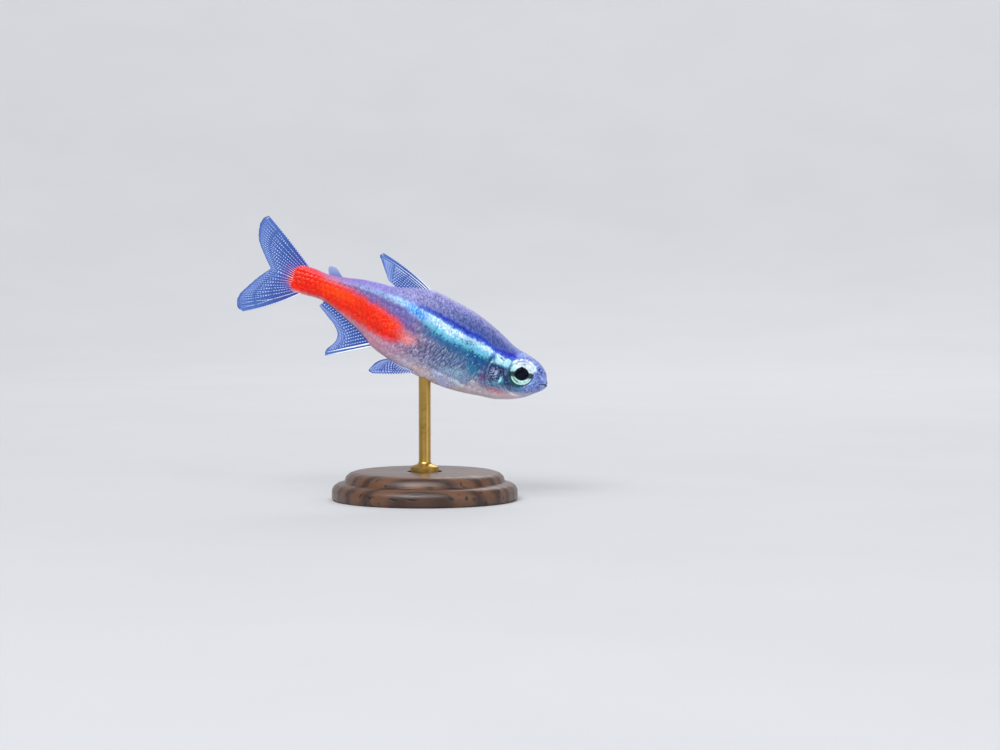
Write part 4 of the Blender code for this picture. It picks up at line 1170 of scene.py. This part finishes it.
# The fin skin is a clear film, tinted through like blue glass: what lies behind it shows through
# in deep blue, lighter towards the edge and violet at the tail base, under a wet gloss.
membrane_finish, membrane_tree, membrane_shader = new_finish(
    "clear_blue_fin_skin", Roughness=0.15, IOR=1.36, Transmission_Weight=1.0)
# The breast fins' film is clearer still, and shows little but its gloss.
clearer_finish, clearer_tree, clearer_shader = new_finish(
    "clearest_fin_skin", Roughness=0.15, IOR=1.36, Alpha=0.05)


def thinness(tree, grain, unevenness, thinnest):
    """How thin a fin is, from its root to its edge, uneven with a grain."""
    along = add_node(tree, "Attribute", attribute_name="along").outputs["Fac"]
    uneven = add_node(
        tree, "Math", {0: grain, 1: unevenness, 2: along}, operation="MULTIPLY_ADD").outputs[0]
    return add_node(
        tree, "MapRange", {"Value": uneven, "From Min": 0.4, "From Max": thinnest}).outputs[0]


def paint_membrane(tree, shader):
    """A deeper blue near the body, paler outwards, violet at the tail base, with fine grain."""
    grain = fine_grain(tree, 0.12)
    paint, coats = brush(tree, "#355ab8")
    paint("#6b90e0", thinness(tree, grain, 0.7, 1.3))
    paint("#7c5cb8", add_node(tree, "Attribute", attribute_name="blush").outputs["Fac"])
    tree.links.new(coats[-1], shader.inputs["Base Color"])
    bump = add_node(tree, "Bump", {"Height": grain, "Strength": 0.5, "Distance": 0.02 * MM})
    tree.links.new(bump.outputs[0], shader.inputs["Normal"])


paint_membrane(membrane_tree, membrane_shader)
paint_membrane(clearer_tree, clearer_shader)


# The rays are bone in short joints under the film: pale segments with dark blue gaps. The real
# joints are about 0.1 mm long, too fine to show, so they are drawn 0.24 mm long.
JOINT_LENGTH = 0.24
ray_finish, ray_tree, ray_shader = new_finish(
    "jointed_fin_ray", Roughness=0.35, IOR=1.45, Coat_Weight=0.3)


def paint_rays(tree, shader):
    """Pale joints and dark gaps that fade outwards, rosy at the tail base, and white on the leading rays
    where a highlight is painted, fading outwards.
    """
    reach, along, painted_highlight, blush = (
        add_node(tree, "Attribute", attribute_name=key).outputs["Fac"]
        for key in ("reach", "along", "painted_highlight", "blush"))
    joints = add_node(tree, "Math", {0: reach, 1: JOINT_LENGTH}, operation="DIVIDE")
    part = add_node(tree, "Math", {0: joints.outputs[0]}, operation="FRACT")
    off = add_node(tree, "Math", {0: part.outputs[0], 1: 0.5}, operation="SUBTRACT")
    away = add_node(tree, "Math", {0: off.outputs[0]}, operation="ABSOLUTE")
    gap = add_node(tree, "MapRange", {"Value": away.outputs[0], "From Min": 0.22, "From Max": 0.34})
    near = add_node(tree, "MapRange", {"Value": along, "From Min": 1.1, "From Max": 0.6})
    shown = add_node(
        tree, "Math", {0: gap.outputs[0], 1: near.outputs[0]}, operation="MULTIPLY").outputs[0]
    paint, coats = brush(tree, "#c8d8fc")
    paint("#9cb6f0", along)
    paint("#24429c", shown)
    lilac = add_node(tree, "MapRange", {"Value": blush, "From Min": 0.05, "From Max": 0.45})
    paint("#a68ad8", lilac.outputs[0])
    pink = add_node(tree, "MapRange", {"Value": blush, "From Min": 0.5, "From Max": 0.8})
    paint("#f0aa9c", pink.outputs[0])
    # A painted highlight in white on the leading rays, fading outwards.
    paint("#eef6ff", painted_highlight)
    tree.links.new(coats[-1], shader.inputs["Base Color"])


paint_rays(ray_tree, ray_shader)


def add_fin(name, root, tips, rays, bow=0.0, sunk=0.0, size=1.0, plain=1, painted_highlight=(), film=membrane_finish,
            rosy=False, lead=1.0, paler=0.0):
    """One fin: a film that takes the place of the CAD's fin, and its rays. The front edge bows, the root
    is sunk in the skin, the first rays are plain and stouter by lead, the leading rays carry a painted
    highlight, and a rosy fin takes the red of the tail base."""
    point = fin_sheet(root, tips, bow, sunk)
    sheet = make_membrane(f"{name}_skin", point, rays, rosy, paler)
    add_piece(f"{name}_skin", sheet, film, "fin_membrane", name)
    rods = make_rays(f"{name}_rays", point, rays, size, plain, painted_highlight, rosy, lead)
    add_piece(f"{name}_rays", rods, ray_finish, "fin_membrane")


# The leading rays of the dorsal and anal fins and of the tail's lower lobe get a painted highlight.
add_fin("dorsal_fin", along_outline(back_height, DORSAL_ROOT, -0.2), through(DORSAL_TIPS), 11,
        bow=0.22, plain=2, painted_highlight=(1.0, 1.0, 0.8, 0.3))
add_fin("anal_fin", along_outline(belly_height, ANAL_ROOT, 0.2), through(ANAL_TIPS), 20, plain=2,
        painted_highlight=(4.0, 3.0), lead=1.5)
add_fin("tail_fin_upper", through(UPPER_ROOT), through(UPPER_TIPS), 11, bow=0.06, rosy=True)
add_fin("tail_fin_lower", through(LOWER_ROOT), through(LOWER_TIPS), 10, bow=0.2, painted_highlight=(0.9, 0.5),
        rosy=True)
for side, word in ((1, "left"), (-1, "right")):
    add_fin(f"pelvic_fin_{word}", on_side(PELVIC_ROOT, side), on_side(PELVIC_TIPS, side), 8,
            bow=0.1, sunk=0.4, size=1.1, paler=0.4)
    add_fin(f"pectoral_fin_{word}", on_side(PECTORAL_ROOT, side), on_side(PECTORAL_TIPS, side), 11,
            bow=0.15, sunk=0.4, size=0.35, film=clearer_finish)

# The adipose fin is a small soft flap behind the dorsal fin, without rays: pale lilac, half clear
# flesh, thinner and clearer towards its edge.
ADIPOSE_ROOT = (20.8, 22.1)
ADIPOSE_TIPS = (
    (0.0, 21.70, 2.38, 0.0), (0.3, 22.00, 2.46, 0.0), (0.6, 22.38, 2.38, 0.0), (0.8, 22.50, 2.22, 0.0),
    (1.0, 22.46, 2.02, 0.0))
flap_finish, flap_tree, flap_shader = new_finish(
    "pale_fin_flesh", Roughness=0.3, IOR=1.36, Transmission_Weight=0.75)


def paint_flap(tree, shader):
    """Lilac, paler towards the edge."""
    paint, coats = brush(tree, "#8690d8")
    paint("#b8c6f4", thinness(tree, fine_grain(tree, 0.08), 0.6, 1.2))
    tree.links.new(coats[-1], shader.inputs["Base Color"])


paint_flap(flap_tree, flap_shader)
adipose = fin_sheet(along_outline(back_height, ADIPOSE_ROOT, -0.2), through(ADIPOSE_TIPS), 0.0, 0.0)
flap = make_membrane("adipose_fin_skin", adipose, 3, False, 0.0)
add_piece("adipose_fin_skin", flap, flap_finish, "fin_membrane", "adipose_fin")

# The stand's base: a disc of walnut turned on a lathe, with a moulded edge, oiled and waxed. Its
# grain runs straight across, with growth bands 1.5 mm apart and fine open pores.
wood_finish, wood_tree, wood_shader = new_finish(
    "waxed_walnut", IOR=1.5, Coat_Weight=0.25, Coat_Roughness=0.25)


def paint_wood(tree, shader):
    """Brown heartwood with darker late wood, and fine black pores drawn out along the grain."""
    at = add_node(tree, "TexCoord").outputs["Object"]
    drawn = add_node(
        tree, "Mapping", {"Vector": at, "Scale": (12 * MM, MM, 2 * MM)}, vector_type="TEXTURE").outputs[0]
    bands = add_node(
        tree, "TexWave",
        {"Vector": drawn, "Scale": 0.21, "Distortion": 3.0, "Detail": 3.0, "Detail Scale": 1.2},
        wave_type="BANDS", bands_direction="Y")
    figure = add_node(tree, "TexNoise", {"Vector": drawn, "Scale": 0.5, "Detail": 3.0})
    pores = add_node(tree, "TexNoise", {"Vector": drawn, "Scale": 4.0, "Detail": 1.0})
    open_pores = add_node(
        tree, "MapRange", {"Value": pores.outputs[0], "From Min": 0.60, "From Max": 0.68})
    late = add_node(tree, "MapRange", {"Value": bands.outputs[1], "From Min": 0.35, "From Max": 1.0})
    paint, coats = brush(tree, "#4a2c1b")
    paint("#6f4a30", figure.outputs[0])
    paint("#351d12", late.outputs[0])
    paint("#1d100a", open_pores.outputs[0])
    tree.links.new(coats[-1], shader.inputs["Base Color"])
    rough = add_node(tree, "MapRange", {"Value": figure.outputs[0], "To Min": 0.32, "To Max": 0.5})
    tree.links.new(rough.outputs[0], shader.inputs["Roughness"])
    bump = add_node(
        tree, "Bump", {"Height": open_pores.outputs[0], "Strength": 0.6, "Distance": 0.03 * MM},
        invert=True)
    tree.links.new(bump.outputs[0], shader.inputs["Normal"])


paint_wood(wood_tree, wood_shader)
BASE_PROFILE = (
    (0.0, 1.9), (1.6, 1.9), (1.6, 2.55), (1.65, 2.6), (6.25, 2.6), (6.45, 2.57), (6.9, 2.42), (7.2, 2.15),
    (7.32, 1.8), (7.36, 1.66), (7.5, 1.6), (8.0, 1.5), (8.3, 1.3), (8.47, 1.0), (8.5, 0.7), (8.5, 0.25),
    (8.42, 0.08), (8.25, 0.0), (0.0, 0.0))
base = turned(BASE_PROFILE, 128)
base_mesh = placed_mesh("turned_base", base)
add_piece("turned_base", base_mesh, wood_finish, "dark_wood", "stand_base")

# The stand's rod: brass turned and satin finished, with fine marks round it, set by its round
# foot in the bore of the base, its top hollowed to take the belly. The marks are 0.03 mm apart
# on the real rod, and are drawn 0.1 mm apart to show.
brass_finish, brass_tree, brass_shader = new_finish("satin_brass_rod", Metallic=1.0)


def paint_brass(tree, shader):
    """Yellow metal with a little brown patina, its gloss broken by the turning marks."""
    at = add_node(tree, "TexCoord").outputs["Object"]
    rings = add_node(
        tree, "Mapping", {"Vector": at, "Scale": (6 * MM, 6 * MM, MM)}, vector_type="TEXTURE").outputs[0]
    turning = add_node(tree, "TexNoise", {"Vector": rings, "Scale": 5.0, "Detail": 2.0})
    paint, coats = brush(tree, "#d8b566")
    paint("#a9823c", fine_grain(tree, 0.9, 3.0))
    tree.links.new(coats[-1], shader.inputs["Base Color"])
    rough = add_node(tree, "MapRange", {"Value": turning.outputs[0], "To Min": 0.2, "To Max": 0.42})
    tree.links.new(rough.outputs[0], shader.inputs["Roughness"])
    bump = add_node(
        tree, "Bump", {"Height": turning.outputs[0], "Strength": 0.4, "Distance": 0.01 * MM})
    tree.links.new(bump.outputs[0], shader.inputs["Normal"])


paint_brass(brass_tree, brass_shader)
ROD_PROFILE = (
    (0.0, 11.3), (0.45, 11.3), (0.55, 11.2), (0.55, 3.5), (0.62, 3.32), (0.8, 3.22), (1.2, 3.1),
    (1.3, 3.0), (1.3, 1.95), (0.0, 1.95))
rod = turned(ROD_PROFILE, 64)
rod_mesh = placed_mesh("brass_rod", rod)
add_piece("brass_rod", rod_mesh, brass_finish, "satin_brass", "stand_rod")

# The camera looks square at the fish's right side, 3 degrees down, through a 100 mm lens about a
# quarter of a metre away, with the photograph's framing.
CAMERA_AIM = Vector((6.88, 0.0, 11.41)) * MM
CAMERA_DISTANCE = 253.7 * MM
CAMERA_LIFT = math.radians(3)
camera_data = bpy.data.cameras.new("camera")
camera_data.lens = 100
camera_data.sensor_width = 36
camera_data.clip_start = 0.01
camera_data.clip_end = 10
camera = set_in_scene("camera", camera_data)
towards_camera = Vector((0.0, -math.cos(CAMERA_LIFT), math.sin(CAMERA_LIFT)))
camera.location = CAMERA_AIM + towards_camera * CAMERA_DISTANCE
camera.rotation_euler = (math.pi / 2 - CAMERA_LIFT, 0.0, 0.0)
bpy.context.scene.camera = camera

# The studio: a pale seamless paper floor that curves up all round, under a broad soft light from
# above the camera, three large soft lamps and a small one that draws the sharp wet highlights.
floor_finish, floor_tree, floor_shader = new_finish("pale_matt_paper", Roughness=0.9)
paint, coats = brush(floor_tree, "#c2c4c8")
paint("#c9cacd", fine_grain(floor_tree, 12.5))
floor_tree.links.new(coats[-1], floor_shader.inputs["Base Color"])
FLAT_FLOOR, CURVE_RADIUS = 270.0, 450.0
floor_turns = np.linspace(0.04, 1.5, 32)
floor_curve = [
    (FLAT_FLOOR + CURVE_RADIUS * math.sin(turn), CURVE_RADIUS - CURVE_RADIUS * math.cos(turn))
    for turn in floor_turns]
floor_shape = turned([(0.0, 0.0), (FLAT_FLOOR, 0.0), *floor_curve], 96)
floor_mesh = placed_mesh("floor", floor_shape, sharp=60)
floor_mesh.materials.append(floor_finish)
floor = set_in_scene("floor", floor_mesh)


def add_lamp(name, watts, size, location):
    """A square soft lamp that looks at the middle of the model, its place in millimetres."""
    data = bpy.data.lights.new(name, "AREA")
    data.energy = watts
    data.size = size * MM
    lamp = set_in_scene(name, data)
    lamp.location = Vector(location) * MM
    lamp.rotation_euler = (Vector((0, 0, 12)) * MM - lamp.location).to_track_quat("-Z", "Y").to_euler()


add_lamp("key", 0.35, 120, (-90, -240, 230))
add_lamp("fill", 0.12, 200, (260, -200, 120))
add_lamp("rear", 0.25, 160, (60, 260, 240))
add_lamp("spark", 0.05, 10, (70, -220, 190))
sun_data = bpy.data.lights.new("overhead", "SUN")
sun_data.energy = 2.2
sun_data.angle = math.radians(60)
sun = set_in_scene("overhead", sun_data)
sun.rotation_euler = Vector((0.25, 0.9, -1.0)).to_track_quat("-Z", "Y").to_euler()
world = bpy.data.worlds.new("studio")
bpy.context.scene.world = world
world.use_nodes = True
world.node_tree.nodes["Background"].inputs["Color"].default_value = linear_colour("#eceef2")
world.node_tree.nodes["Background"].inputs["Strength"].default_value = 0.5
bpy.context.scene.view_settings.view_transform = "Standard"
